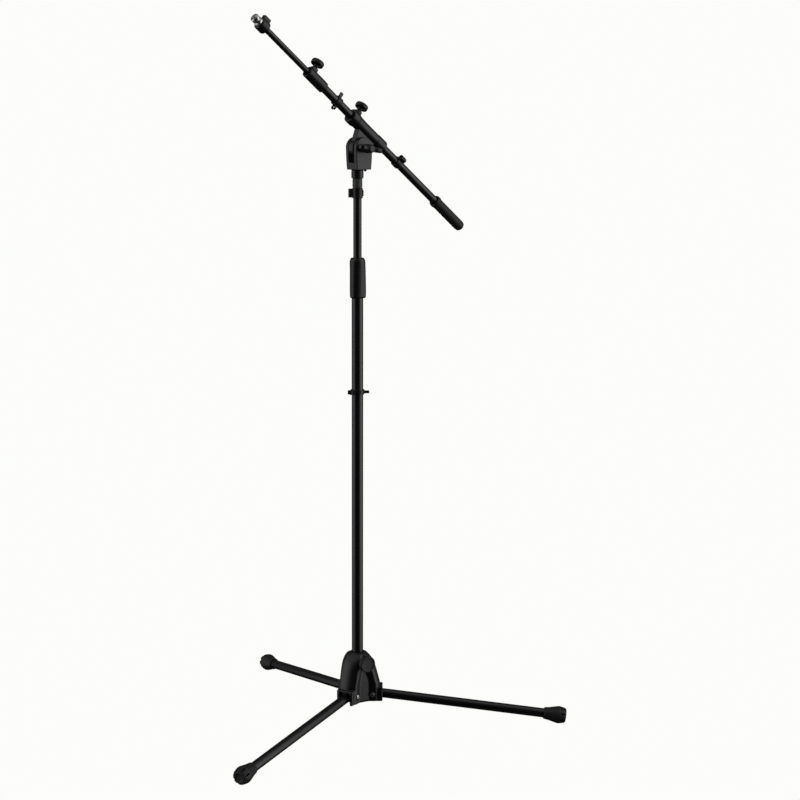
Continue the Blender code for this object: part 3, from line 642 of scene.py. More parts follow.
@dataclass
class TripodBase(SubAssembly):
    """The hub casting with its clamping knob, and three folding legs on rubber feet."""

    collar_radius: float = 15.5 * MM
    panel_reach: float = 28.5 * MM
    housing_nose: float = 10.0 * MM
    slot_half_width: float = 12.0 * MM
    slot_ceiling: float = 74.5 * MM
    leg_tube_wall: float = 1.3 * MM
    bolt_seat_radius: float = 6.2 * MM
    foot_slots: int = 8
    azimuths: dict[str, float] = field(default_factory=lambda: {"right": 0.0, "back": 120.0, "front": 240.0})

    def build(self) -> None:
        """Builds the hub, the knob and the legs."""
        self.hub()
        self.knob()
        for name in self.azimuths:
            self.leg(name)
            self.leg_bolt(name)

    def hub(self) -> None:
        """The casting: a collar that flows down into three leg housings with framed openings."""
        low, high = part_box("hub_casting")
        top = high.z
        bottom = low.z
        mast = shift(MAST.matrix.translation.x)
        corner = 1 / math.cos(math.radians(30))
        core = [(0, 140 * MM), (16.0 * corner * MM, 140 * MM), (19.5 * corner * MM, 130 * MM),
                (24.5 * corner * MM, 115 * MM), (self.panel_reach * corner, 92 * MM),
                (self.panel_reach * corner, bottom), (0, bottom)]
        solids = [turned(core, mast @ turn(30, "Z"), 6 * MM, sides=6),
                  bar(self.collar_radius, 120 * MM, top, mast, 1.4 * MM, 96)]
        housing = eased([
            (bottom + 1 * MM, 44.6 * MM, 19.3 * MM), (80.0 * MM, 44.6 * MM, 19.8 * MM),
            (88.0 * MM, 43.2 * MM, 20.0 * MM), (100.3 * MM, 40.0 * MM, 20.3 * MM),
            (110.7 * MM, 37.2 * MM, 20.3 * MM), (121.1 * MM, 33.8 * MM, 20.0 * MM),
            (130.9 * MM, 29.0 * MM, 19.2 * MM), (138.0 * MM, 23.5 * MM, 17.8 * MM),
            (142.5 * MM, 19.0 * MM, 16.0 * MM), (top - 1.2 * MM, 15.5 * MM, 14.0 * MM)], 4)
        cutters = [bar(MAST.radius("mast_lower_tube") + CLEARANCE, 0, 4 * THROUGH, mast)]
        for name, azimuth in self.azimuths.items():
            lobe_frame = mast @ turn(azimuth, "Z")
            solids.append(stacked(housing, self.housing_nose, lobe_frame))
            solids.append(box((36 * MM, -17.8 * MM, bottom + 0.5 * MM), (49.7 * MM, 17.8 * MM, 77.5 * MM),
                              lobe_frame, 1.8 * MM))
            half = self.slot_half_width
            cutters.append(box((4 * MM, -half, bottom - THROUGH), (2 * THROUGH, half, self.slot_ceiling),
                               lobe_frame))
            bolt = Line.of_joint(f"leg_{name}_fold").matrix
            seat, shank, depth = self.bolt_seat_radius, BOLT_HOLE, 16.8 * MM
            cutters.append(turned([(0, THROUGH), (seat, THROUGH), (seat, depth), (shank, depth),
                                   (shank, -depth), (seat, -depth), (seat, -THROUGH), (0, -THROUGH)],
                                  bolt, 0.0))
        knob = Line.of_joint("hub_knob_turn").matrix
        solids.append(bar(8.5 * MM, 14 * MM, 27.5 * MM, knob, 0.6 * MM))
        cutters.append(bar(BOLT_HOLE, 1 * MM, 40 * MM, knob))
        self.piece("hub_shell", cast(solids, cutters, 0.85 * MM, 4), CASTING, "base", "hub_casting")

    def knob(self) -> None:
        """The round nylon head on its plated stud."""
        line = Line.of_joint("hub_knob_turn")
        low, high = line.span("hub_knob_head")
        radius = line.radius("hub_knob_head")
        head = [(0, high - 1.2 * MM), (radius - 4.5 * MM, high - 1.2 * MM), (radius - 3.4 * MM, high),
                (radius - 1.2 * MM, high), (radius, high - 1.6 * MM), (radius, high - 7.5 * MM),
                (radius - 0.9 * MM, high - 9.3 * MM), (9.5 * MM, high - 10.5 * MM),
                (7.5 * MM, high - 12 * MM), (7.3 * MM, low), (BOLT_HOLE, low), (BOLT_HOLE, low + 8.7 * MM),
                (0, low + 8.7 * MM)]
        self.piece("hub_knob_grip", turned(head, line.matrix, 0.9 * MM), NYLON, "hub_knob", "hub_knob_head")
        stud_low, stud_high = line.span("hub_knob_stud")
        stud = bar(BOLT_RADIUS, stud_low, stud_high, line.matrix, 0.4 * MM)
        self.piece("hub_knob_screw", stud, ZINC, "hub_knob", "hub_knob_stud")

    def leg(self, name: str) -> None:
        """A leg: its cast knuckle, its tube, and a rubber foot with slots round its end.

        Args:
            name: Which leg.
        """
        body = f"leg_{name}"
        pivot = Vector(joint_named(f"leg_{name}_fold")["pos_m"])
        low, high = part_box(f"leg_tube_{name}")
        along = (low + high) / 2 - pivot
        line = Line(basis(pivot, along, Vector((0, 0, 1))))
        self.tube(f"leg_pipe_{name}", line, self.leg_tube_wall, POWDER, body, f"leg_tube_{name}")

        work = bmesh.new()
        work.from_mesh(frame["nodes"][f"leg_knuckle_{name}"].data)
        knuckle = cast([finished_mesh(work, Matrix())], [], 0.5 * MM, 4)
        self.piece(f"leg_joint_{name}", knuckle, CASTING, body, f"leg_knuckle_{name}")
        self.piece(f"foot_boot_{name}", self.foot(line, name), RUBBER, body, f"foot_{name}")

    def foot(self, line: Line, name: str) -> bpy.types.Mesh:
        """The rubber boot: a neck, a flare and a slotted end, flattened where it stands.

        Args:
            line: The leg's axis.
            name: Which leg.

        Returns:
            The foot's mesh.
        """
        start, end = line.span(f"foot_{name}")
        flare = 17.2 * MM
        neck = 11.7 * MM
        ridge = start + 29.5 * MM
        socket = line.radius(f"leg_tube_{name}") + CLEARANCE
        profile = [
            (0, end - 1.6 * MM), (6.5 * MM, end - 1.4 * MM), (9.0 * MM, end), (13.0 * MM, end - 0.6 * MM),
            (15.1 * MM, end - 3.6 * MM), (flare - 0.3 * MM, ridge + 2.4 * MM), (flare, ridge),
            (15.2 * MM, start + 20 * MM), (12.8 * MM, start + 10 * MM), (neck, start + 2 * MM),
            (neck - 0.9 * MM, start), (socket, start), (socket, start + 24 * MM), (0, start + 24 * MM),
        ]
        tool = NodeTool("foot_slots", {
            "Slots": self.foot_slots, "Ring Radius": flare, "Slot Width": 3.2 * MM,
            "Slot Length": 18.0 * MM, "Slot Depth": 11.0 * MM, "Station": end - 3.2 * MM})
        tree, sizes = tool.tree, tool.inputs
        ring = add_node(tree, "GeometryNodeMeshCircle",
                        {"Vertices": sizes["Slots"], "Radius": sizes["Ring Radius"]})
        size = add_node(tree, "ShaderNodeCombineXYZ",
                        {0: sizes["Slot Depth"], 1: sizes["Slot Width"], 2: sizes["Slot Length"]})
        cutter = add_node(tree, "GeometryNodeMeshCube", {"Size": size.outputs[0]})
        outward = add_node(tree, "FunctionNodeAlignRotationToVector",
                           {"Vector": add_node(tree, "GeometryNodeInputPosition").outputs[0]},
                           axis="X", pivot_axis="Z")
        slots = add_node(tree, "GeometryNodeInstanceOnPoints", {
            "Points": ring.outputs[0], "Instance": cutter.outputs[0], "Rotation": outward.outputs[0]})
        station = add_node(tree, "ShaderNodeCombineXYZ", {2: sizes["Station"]})
        placed = add_node(tree, "GeometryNodeTransform", {
            "Geometry": add_node(tree, "GeometryNodeRealizeInstances", {0: slots.outputs[0]}).outputs[0],
            "Translation": station.outputs[0]})
        carved = add_node(tree, "GeometryNodeMeshBoolean",
                          {0: sizes["Geometry"], 1: placed.outputs[0]},
                          operation="DIFFERENCE", solver="MANIFOLD")
        tool.close(carved.outputs[0], RUBBER.material())
        mesh = cast([tool.bake(turned(profile, Matrix(), 0.9 * MM))], [], 0.42 * MM, 4)
        mesh.transform(line.matrix @ turn(180 / self.foot_slots, "Z"))
        for vertex in mesh.vertices:
            vertex.co.z = max(vertex.co.z, 0.05 * MM)
        return mesh

    def leg_bolt(self, name: str) -> None:
        """The slotted pivot bolt and its nut.

        Args:
            name: Which leg.
        """
        line = Line.of_joint(f"leg_{name}_fold")
        low, high = line.span(f"leg_bolt_{name}")
        radius = line.radius(f"leg_bolt_{name}")
        seat = high - 4.4 * MM
        shape = [(0, high), (radius * 0.55, high - 0.2 * MM), (radius * 0.92, high - 1.3 * MM),
                 (radius, high - 2.3 * MM), (radius, seat), (BOLT_RADIUS, seat), (BOLT_RADIUS, low), (0, low)]
        groove = box((-0.6 * MM, -THROUGH, high - 1.3 * MM), (0.6 * MM, THROUGH, high + 5 * MM), line.matrix)
        mesh = cast([turned(shape, line.matrix, 0.3 * MM)], [groove], 0.24 * MM, 2)
        self.piece(f"leg_screw_{name}", mesh, ZINC, "base", f"leg_bolt_{name}")
        nut_low, nut_high = line.span(f"leg_nut_{name}")
        across = line.radius(f"leg_nut_{name}")
        hexagon = bar(across, nut_low, nut_high, line.matrix, 0.0, 6)
        bore = bar(BOLT_HOLE, nut_low - 5 * MM, nut_high + 5 * MM, line.matrix)
        self.piece(f"leg_lock_nut_{name}", cast([hexagon], [bore], 0.24 * MM, 2), ZINC, "base",
                   f"leg_nut_{name}")


@dataclass
class CableClip(SubAssembly):
    """A sprung nylon ring round a tube, with an open eye that holds the cable."""

    name: str
    body: str
    matrix: Matrix
    bore: float
    length: float
    eye_turn: float = 0.0
    tab: float = 0.0
    eye_half: float = 1.5 * MM
    wall: float = 1.9 * MM
    eye_radius: float = 3.8 * MM
    mouth: float = 5.8 * MM

    def build(self) -> None:
        """Moulds the ring, the eye and the thumb tab in one."""
        half = self.length / 2
        spin = self.matrix @ turn(self.eye_turn, "Z")
        centre = -(self.bore + 0.9 * MM + self.eye_radius)
        middle = spin @ shift(centre)
        outer = self.bore + self.wall
        solids = [bar(outer, -half, half, self.matrix, 0.5 * MM, 64),
                  bar(self.eye_radius + 1.6 * MM, -self.eye_half, self.eye_half, middle, 0.4 * MM)]
        if self.tab:
            solids.append(box((self.bore + 0.6 * MM, -1.6 * MM, -0.3 * self.length),
                              (outer + self.tab, 1.6 * MM, 0.3 * self.length), self.matrix, 0.9 * MM))
        cutters = [bar(self.bore, -THROUGH, THROUGH, self.matrix, sides=64),
                   box((centre - 10 * MM, -self.mouth / 2, -THROUGH),
                       (centre - 0.8 * MM, self.mouth / 2, THROUGH), spin),
                   bar(self.eye_radius, -THROUGH, THROUGH, middle)]
        mesh = cast(solids, cutters, 0.33 * MM, 3)
        self.piece(f"{self.name}_moulding", mesh, NYLON, self.body, self.name)


@dataclass
class Mast(SubAssembly):
    """The two telescoping tubes, the twist clutch between them, and the neck."""

    wall: float = 1.4 * MM
    lobe: float = 0.9 * MM

    def build(self) -> None:
        """Builds the mast from its lower tube to its neck."""
        self.tube("mast_pipe_lower", MAST, self.wall, POWDER, "mast", "mast_lower_tube")
        self.tube("mast_pipe_upper", MAST, self.wall, POWDER, "upper_mast", "mast_upper_tube")
        self.clutch()
        self.neck()
        for name, body, tube, eye_turn, tab, eye_half in (
            ("mast_cable_clip", "mast_clip", "mast_lower_tube", 35.0, 9.5 * MM, 4.0 * MM),
            ("upper_mast_clip", "upper_clip", "mast_upper_tube", 5.0, 1.6 * MM, 8.2 * MM),
        ):
            low, high = MAST.span(name)
            matrix = MAST.matrix @ shift(z=(low + high) / 2)
            CableClip(name, body, matrix, MAST.radius(tube) + CLEARANCE, high - low, eye_turn, tab,
                      eye_half).build()

    def clutch(self) -> None:
        """The grip sleeve: chamfered at its rim, with three soft lobes that swell downwards."""
        low, high = MAST.span("clutch_sleeve")
        radius = MAST.radius("clutch_sleeve")
        lower = MAST.radius("mast_lower_tube") + 1.3 * MM
        upper = MAST.radius("mast_upper_tube") + 0.8 * MM
        profile = [
            (radius - 3.4 * MM, high), (radius - 2.4 * MM, high - 0.5 * MM),
            (radius - 0.7 * MM, high - 4.6 * MM), (radius - 0.1 * MM, high - 7 * MM),
            (radius, high - 24 * MM), (radius + 0.4 * MM, low + 14 * MM), (radius + 0.2 * MM, low + 2.5 * MM),
            (radius - 1.2 * MM, low), (lower, low), (lower, high - 26 * MM),
            (upper + 1.2 * MM, high - 4 * MM),
            (upper, high - 4 * MM), (upper, high - 0.3 * MM),
        ]
        mesh = turned(profile, MAST.matrix, 0.8 * MM, ring=True, lobe=self.lobe, sides=96)
        self.piece("clutch_grip", mesh, NYLON, "clutch", "clutch_sleeve")

    def neck(self) -> None:
        """The threaded neck on the upper tube."""
        low, high = MAST.span("neck_fitting")
        radius = MAST.radius("neck_fitting")
        tube = MAST.radius("mast_upper_tube") + CLEARANCE
        _, tube_top = MAST.span("mast_upper_tube")
        thread = 5.94 * MM
        shoulder = tube_top + 6.4 * MM
        profile = [(0, high), (thread, high), (thread, shoulder), (radius - 0.3 * MM, shoulder),
                   (radius, shoulder - 1 * MM), (radius, low + 1 * MM), (radius - 0.3 * MM, low), (tube, low),
                   (tube, tube_top + CLEARANCE), (0, tube_top + CLEARANCE)]
        self.piece("neck_coupling", turned(profile, MAST.matrix, 0.4 * MM), BLACKENED, "upper_mast",
                   "neck_fitting")


@dataclass
class BoomHead(SubAssembly):
    """The cast yoke that swivels on the neck, with its collar, screw, pivot bolt and wing knob."""

    half_length: float = 19.3 * MM
    half_width: float = 15.8 * MM
    wall: float = 7.8 * MM
    top_radius: float = 20.5 * MM
    middle: float = -4 * MM  # the yoke's middle from its pivot

    def build(self) -> None:
        """Builds the collar, the yoke and its fastenings."""
        heading = Vector((BOOM_AXIS.x, BOOM_AXIS.y, 0))
        swivel = basis(PIVOT, Vector((0, 0, 1)), heading)
        across = Line.of_joint("wing_knob_turn")
        self.collar()
        self.yoke(swivel)
        self.fastenings(swivel, across)
        self.wing_knob(across)

    def collar(self) -> None:
        """The swivel collar under the yoke."""
        low, high = MAST.span("swivel_collar")
        radius = MAST.radius("swivel_collar")
        bore = 6.3 * MM
        profile = [(bore, high), (radius - 0.5 * MM, high), (radius, high - 1.1 * MM),
                   (radius, low + 1.1 * MM), (radius - 0.6 * MM, low), (bore, low)]
        mesh = turned(profile, MAST.matrix, 0.5 * MM, ring=True)
        self.piece("swivel_ring", mesh, CASTING, "head", "swivel_collar")

    def yoke(self, swivel: Matrix) -> None:
        """Two cheeks with rounded tops, joined below, drilled for the bolt and the set screw.

        Args:
            swivel: The head's frame at the boom's pivot.
        """
        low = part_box("boom_yoke")[0].z - PIVOT.z
        length = self.half_length
        outline = [(-length + 1.8 * MM, low), (length - 1.8 * MM, low), (length, low + 20 * MM)]
        outline += arc(self.top_radius, 8, 172, 28) + [(-length, low + 20 * MM)]
        gap = self.half_width - self.wall
        cutters = [
            box((-THROUGH, -gap, low + 13.5 * MM), (THROUGH, gap, THROUGH), swivel),
            bar(BOLT_HOLE, -THROUGH, THROUGH, swivel @ ALONG_Y),
            bar(2.3 * MM, -THROUGH, 8.5 * MM, swivel @ self.screw_place(low)),
        ]
        body = prism(outline, self.half_width, swivel @ shift(self.middle), 1.5 * MM)
        self.piece("yoke_casting", cast([body], cutters, 0.45 * MM, 4), CASTING, "head", "boom_yoke")

    def screw_place(self, low: float) -> Matrix:
        """Where the set screw stands under the yoke, from the pivot."""
        return shift(-9 * MM, 12.2 * MM, low)

    def fastenings(self, swivel: Matrix, across: Line) -> None:
        """The set screw under the yoke, and the bolt and washer through it.

        Args:
            swivel: The head's frame at the boom's pivot.
            across: The line of the pivot bolt.
        """
        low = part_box("boom_yoke")[0].z - PIVOT.z
        screw = [(0, 7 * MM), (2 * MM, 7 * MM), (2 * MM, -CLEARANCE), (2.6 * MM, -CLEARANCE),
                 (2.6 * MM, -2.4 * MM), (1.6 * MM, -3.2 * MM), (1.2 * MM, -2.2 * MM), (0, -2.2 * MM)]
        at_screw = swivel @ self.screw_place(low)
        self.piece("set_screw", turned(screw, at_screw, 0.3 * MM), CASTING, "head", "yoke_set_screw")
        start, end = across.span("pivot_bolt")
        radius = across.radius("pivot_bolt")
        bolt = [(0, end), (BOLT_RADIUS, end), (BOLT_RADIUS, start + 4 * MM), (radius, start + 4 * MM),
                (radius, start + 1.4 * MM), (radius * 0.8, start + 0.3 * MM), (0, start)]
        groove = box((-0.7 * MM, -THROUGH, start - 5 * MM), (0.7 * MM, THROUGH, start + 1.4 * MM),
                     across.matrix)
        mesh = cast([turned(bolt, across.matrix, 0.4 * MM)], [groove], 0.26 * MM, 2)
        self.piece("pivot_screw", mesh, ZINC, "head", "pivot_bolt")
        washer_low, washer_high = across.span("pivot_washer")
        outer = across.radius("pivot_washer")
        spacer = pipe(BOLT_HOLE, outer, washer_low, washer_high, across.matrix, 0.3 * MM)
        self.piece("pivot_spacer", spacer, BRASS, "head", "pivot_washer")

    def wing_knob(self, across: Line) -> None:
        """The nylon wing knob that clamps the tilt.

        Args:
            across: The line of the pivot bolt.
        """
        low, high = across.span("pivot_wing_knob")
        hub_top = high - 5 * MM
        hub = [(0, hub_top + 3 * MM), (6.0 * MM, hub_top + 3 * MM), (8.2 * MM, hub_top - 1 * MM),
               (8.6 * MM, low + 11 * MM), (8.2 * MM, low + 7 * MM), (8.2 * MM, low), (0, low)]
        solids = [turned(hub, across.matrix, 0.9 * MM)]
        tip = [(2.5 * MM, low + 9 * MM), (20 * MM, low + 10.5 * MM), (26.9 * MM, low + 16 * MM),
               (26.9 * MM, high - 4 * MM), (22 * MM, high), (14 * MM, high - 1.5 * MM),
               (2.5 * MM, low + 21 * MM)]
        reference = frame["nodes"]["pivot_wing_knob"].data.vertices
        inverse = across.matrix.inverted()
        far = max((inverse @ vertex.co for vertex in reference), key=lambda point: point.xy.length)
        angle = math.degrees(math.atan2(far.y, far.x))
        for side in (0, 180):
            blade = prism(rounded_outline(tip, 4 * MM, True, 6), 4.6 * MM,
                          across.matrix @ turn(angle + side, "Z"), 2.6 * MM)
            solids.append(blade)
        socket = bar(BOLT_HOLE, low - 5 * MM, low + 18 * MM, across.matrix)
        self.piece("tilt_wing_knob", cast(solids, [socket], 0.42 * MM, 5), NYLON, "wing_knob",
                   "pivot_wing_knob")


@dataclass
class ClampKnob(SubAssembly):
    """A screw knob: a cup-shaped nylon head on a stem, with its plated stud."""

    name: str
    body: str
    joint: str

    def build(self) -> None:
        """Turns the head and the stud."""
        line = Line.of_joint(self.joint)
        low, high = line.span(f"{self.name}_knob")
        radius = line.radius(f"{self.name}_knob")
        head = [
            (0, high - 0.6 * MM), (radius * 0.45, high - 0.5 * MM), (radius * 0.75, high),
            (radius * 0.93, high - 0.9 * MM), (radius, high - 3 * MM), (radius, high - 7.4 * MM),
            (radius - 0.6 * MM, high - 9 * MM), (radius - 2.2 * MM, high - 9 * MM),
            (radius - 3 * MM, high - 4.6 * MM), (5.4 * MM, high - 4 * MM), (4.8 * MM, low), (STUD_HOLE, low),
            (STUD_HOLE, high - 3.7 * MM), (0, high - 3.7 * MM),
        ]
        self.piece(f"{self.name}_knob_head", turned(head, line.matrix, 0.7 * MM), NYLON, self.body,
                   f"{self.name}_knob")
        start, end = line.span(f"{self.name}_stud")
        stud = bar(STUD_RADIUS, start, end, line.matrix, 0.35 * MM)
        self.piece(f"{self.name}_screw", stud, ZINC, self.body, f"{self.name}_stud")


@dataclass
class MainClamp(SubAssembly):
    """The clamp that holds the boom, cast in one with the disc that tilts in the yoke."""

    web_half: float = 6.2 * MM
    disc_radius: float = 17.5 * MM

    def build(self) -> None:
        """Builds the clamp's casting, its liner and its knob."""
        rear, mouth = BOOM.span("main_clamp_body")
        barrel = [
            (0, mouth), (13.4 * MM, mouth), (14.6 * MM, mouth - 1.4 * MM), (14.6 * MM, mouth - 14 * MM),
            (12.7 * MM, mouth - 21 * MM), (12.0 * MM, mouth - 34 * MM), (12.0 * MM, rear + 25.5 * MM),
            (12.8 * MM, rear + 23 * MM), (12.8 * MM, rear + 1.4 * MM), (11.8 * MM, rear), (0, rear),
        ]
        web = [(24.0 * MM, BOOM_RISE - 10.5 * MM), (-25.0 * MM, BOOM_RISE - 10.5 * MM)]
        web += arc(self.disc_radius, 165, 375, 28)
        bore = BOOM.radius("boom_tube") + BUSH_WALL
        knob = PIVOT_FRAME @ shift(station_of("main_knob_turn"), 0, BOOM_RISE)
        solids = [turned(barrel, BOOM.matrix, 0.8 * MM), prism(web, self.web_half, PIVOT_FRAME, 0.9 * MM),
                  bar(7 * MM, 4 * MM, 18.5 * MM, knob, 0.6 * MM)]
        cutters = [bar(bore, -4 * THROUGH, 4 * THROUGH, BOOM.matrix, sides=64),
                   bar(BOLT_HOLE, -THROUGH, THROUGH, PIVOT_FRAME @ ALONG_Y),
                   bar(STUD_HOLE, 5 * MM, 30 * MM, knob)]
        self.piece("clamp_casting", cast(solids, cutters, 0.6 * MM, 4), CASTING, "tilt_clamp",
                   "main_clamp_body")
        low, high = BOOM.span("main_clamp_liner")
        inner = BOOM.radius("boom_tube") + CLEARANCE
        liner = pipe(inner, bore - CLEARANCE, low, high, BOOM.matrix, 0.3 * MM)
        self.piece("clamp_bush", liner, NYLON, "tilt_clamp", "main_clamp_liner")
        ClampKnob("main_clamp", "main_knob", "main_knob_turn").build()


@dataclass
class Boom(SubAssembly):
    """The boom tube with its clips and grip, the clamp for the inner rod, and the rod with its thread."""

    wall: float = 1.2 * MM
    rod_wall: float = 1.2 * MM
    thread_pitch: float = 0.94 * MM  # 27 threads to the inch, the usual microphone thread

    def build(self) -> None:
        """Builds the boom from its grip to its thread."""
        self.tube("boom_pipe", BOOM, self.wall, POWDER, "boom", "boom_tube")
        self.tube("rod_pipe", BOOM, self.rod_wall, POWDER, "rod", "boom_rod")
        self.tele_clamp()
        ClampKnob("tele_clamp", "tele_knob", "tele_knob_turn").build()
        self.grip()
        for name, body, eye_turn, tab, eye_half, mouth in (
            ("boom_clip_front", "clip_front", 0.0, 10.0 * MM, 2.2 * MM, 4.0 * MM),
            ("boom_clip_rear", "clip_rear", 130.0, 0.0, 7.0 * MM, 3.0 * MM),
        ):
            low, high = BOOM.span(name)
            matrix = BOOM.matrix @ shift(z=(low + high) / 2) @ turn(180, "Z")
            CableClip(name, body, matrix, BOOM.radius("boom_tube") + CLEARANCE, high - low, eye_turn,
                      tab, eye_half, mouth=mouth).build()
        self.lock_nut()
        self.thread()

    def tele_clamp(self) -> None:
        """The flared nylon clamp on the boom's front end."""
        rear, mouth = BOOM.span("tele_clamp_body")
        bore = BOOM.radius("boom_rod") + BUSH_WALL
        sleeve = BOOM.radius("boom_tube") + CLEARANCE
        tube_end = BOOM.span("boom_tube")[1] + CLEARANCE
        profile = [
            (bore + 2.2 * MM, mouth - 0.4 * MM), (9.8 * MM, mouth), (11.2 * MM, mouth - 1.2 * MM),
            (11.2 * MM, mouth - 5 * MM), (11.2 * MM, mouth - 9 * MM), (11.2 * MM, rear + 10 * MM),
            (10.8 * MM, rear + 1 * MM), (10.0 * MM, rear), (sleeve, rear), (sleeve, tube_end),
            (bore, tube_end), (bore, mouth - 7 * MM),
        ]
        knob = PIVOT_FRAME @ shift(station_of("tele_knob_turn"), 0, BOOM_RISE)
        boss = box((-7 * MM, -5 * MM, 8 * MM), (6 * MM, 5 * MM, 16.5 * MM), knob, 1.6 * MM)
        screw = bar(STUD_HOLE, 3 * MM, 30 * MM, knob)
        mesh = cast([turned(profile, BOOM.matrix, 0.6 * MM, ring=True), boss], [screw], 0.42 * MM, 4)
        self.piece("rod_clamp_moulding", mesh, NYLON, "boom", "tele_clamp_body")

    def grip(self) -> None:
        """The rubber grip with its collar and the thin ring at its mouth."""
        end, mouth = BOOM.span("boom_grip")
        sleeve = BOOM.radius("boom_tube") + CLEARANCE
        profile = [
            (0, end + 4 * MM), (sleeve, end + 4 * MM), (sleeve, mouth - 5 * MM),
            (9.8 * MM, mouth - 5 * MM), (9.8 * MM, mouth), (11.0 * MM, mouth),
            (11.9 * MM, mouth - 1.2 * MM), (11.9 * MM, mouth - 5.6 * MM), (10.9 * MM, mouth - 8.2 * MM),
            (10.6 * MM, mouth - 12 * MM), (10.6 * MM, end + 8.5 * MM), (9.9 * MM, end + 3.2 * MM),
            (7.6 * MM, end + 0.7 * MM), (4.0 * MM, end), (0, end),
        ]
        self.piece("boom_hand_grip", turned(profile, BOOM.matrix, 0.9 * MM), RUBBER, "boom", "boom_grip")
        low, high = BOOM.span("grip_ring")
        outer = BOOM.radius("grip_ring")
        ring = pipe(outer - 1.4 * MM, outer, low, high, BOOM.matrix, 0.3 * MM)
        self.piece("grip_end_ring", ring, BRASS, "boom", "grip_ring")

    def lock_nut(self) -> None:
        """The nylon nut that locks the microphone clip, with a thumb wing on one side."""
        rear, front = BOOM.span("lock_nut")
        bore = BOOM.radius("boom_rod") + 0.6 * MM
        profile = [(bore, front), (11.2 * MM, front), (12.4 * MM, front - 1.6 * MM),
                   (12.4 * MM, rear + 2.4 * MM), (10.8 * MM, rear), (bore, rear)]
        wing = box((rear + 0.8 * MM, -4.6 * MM, 8.5 * MM), (front - 0.8 * MM, 4.6 * MM, 18.5 * MM),
                   PIVOT_FRAME @ shift(z=BOOM_RISE), 2.4 * MM)
        bore_cut = bar(bore, rear - 10 * MM, front + 10 * MM, BOOM.matrix)
        mesh = cast([turned(profile, BOOM.matrix, 0.9 * MM, ring=True), wing], [bore_cut], 0.4 * MM, 4)
        self.piece("thumb_nut", mesh, NYLON, "nut", "lock_nut")

    def thread(self) -> None:
        """The chromed microphone thread with its shoulder: a turned core and a helical ridge."""
        low, high = BOOM.span("mic_thread")
        nut_front = BOOM.span("lock_nut")[1]
        rod_end = BOOM.span("boom_rod")[1]
        crest = 7.94 * MM
        root = crest - 0.55 * MM
        inner = BOOM.radius("boom_rod") - self.rod_wall - CLEARANCE
        shoulder = nut_front + 3.0 * MM
        profile = [
            (0, high - 2.5 * MM), (4.4 * MM, high - 2.5 * MM), (5.0 * MM, high), (root - 0.6 * MM, high),
            (root, high - 0.7 * MM), (root, shoulder), (9.0 * MM, shoulder - 0.4 * MM),
            (9.0 * MM, nut_front + CLEARANCE), (5.6 * MM, nut_front + CLEARANCE),
            (5.6 * MM, rod_end + CLEARANCE), (inner, rod_end + CLEARANCE), (inner, low), (0, low),
        ]
        length = high - 1.0 * MM - shoulder
        tool = NodeTool("thread_ridge", {
            "Turns": length / self.thread_pitch, "Crest Radius": root + 0.12 * MM, "Length": length,
            "Ridge": 0.48 * MM, "Start": shoulder})
        tree, sizes = tool.tree, tool.inputs
        helix = add_node(tree, "GeometryNodeCurveSpiral", {
            "Resolution": 48, "Rotations": sizes["Turns"], "Start Radius": sizes["Crest Radius"],
            "End Radius": sizes["Crest Radius"], "Height": sizes["Length"]})
        upright = add_node(tree, "GeometryNodeSetCurveNormal", {"Curve": helix.outputs[0]})
        section = add_node(tree, "GeometryNodeCurvePrimitiveCircle",
                           {"Resolution": 4, "Radius": sizes["Ridge"]})
        ridge = add_node(tree, "GeometryNodeCurveToMesh", {
            "Curve": upright.outputs[0], "Profile Curve": section.outputs[0], "Fill Caps": True})
        station = add_node(tree, "ShaderNodeCombineXYZ", {2: sizes["Start"]})
        placed = add_node(tree, "GeometryNodeTransform",
                          {"Geometry": ridge.outputs[0], "Translation": station.outputs[0]})
        whole = add_node(tree, "GeometryNodeJoinGeometry", {0: sizes["Geometry"]})
        tree.links.new(placed.outputs[0], whole.inputs[0])
        tool.close(whole.outputs[0], CHROME.material())
        mesh = tool.bake(turned(profile, Matrix(), 0.25 * MM))
        mesh.transform(BOOM.matrix)
        self.piece("microphone_thread", mesh, CHROME, "rod", "mic_thread")


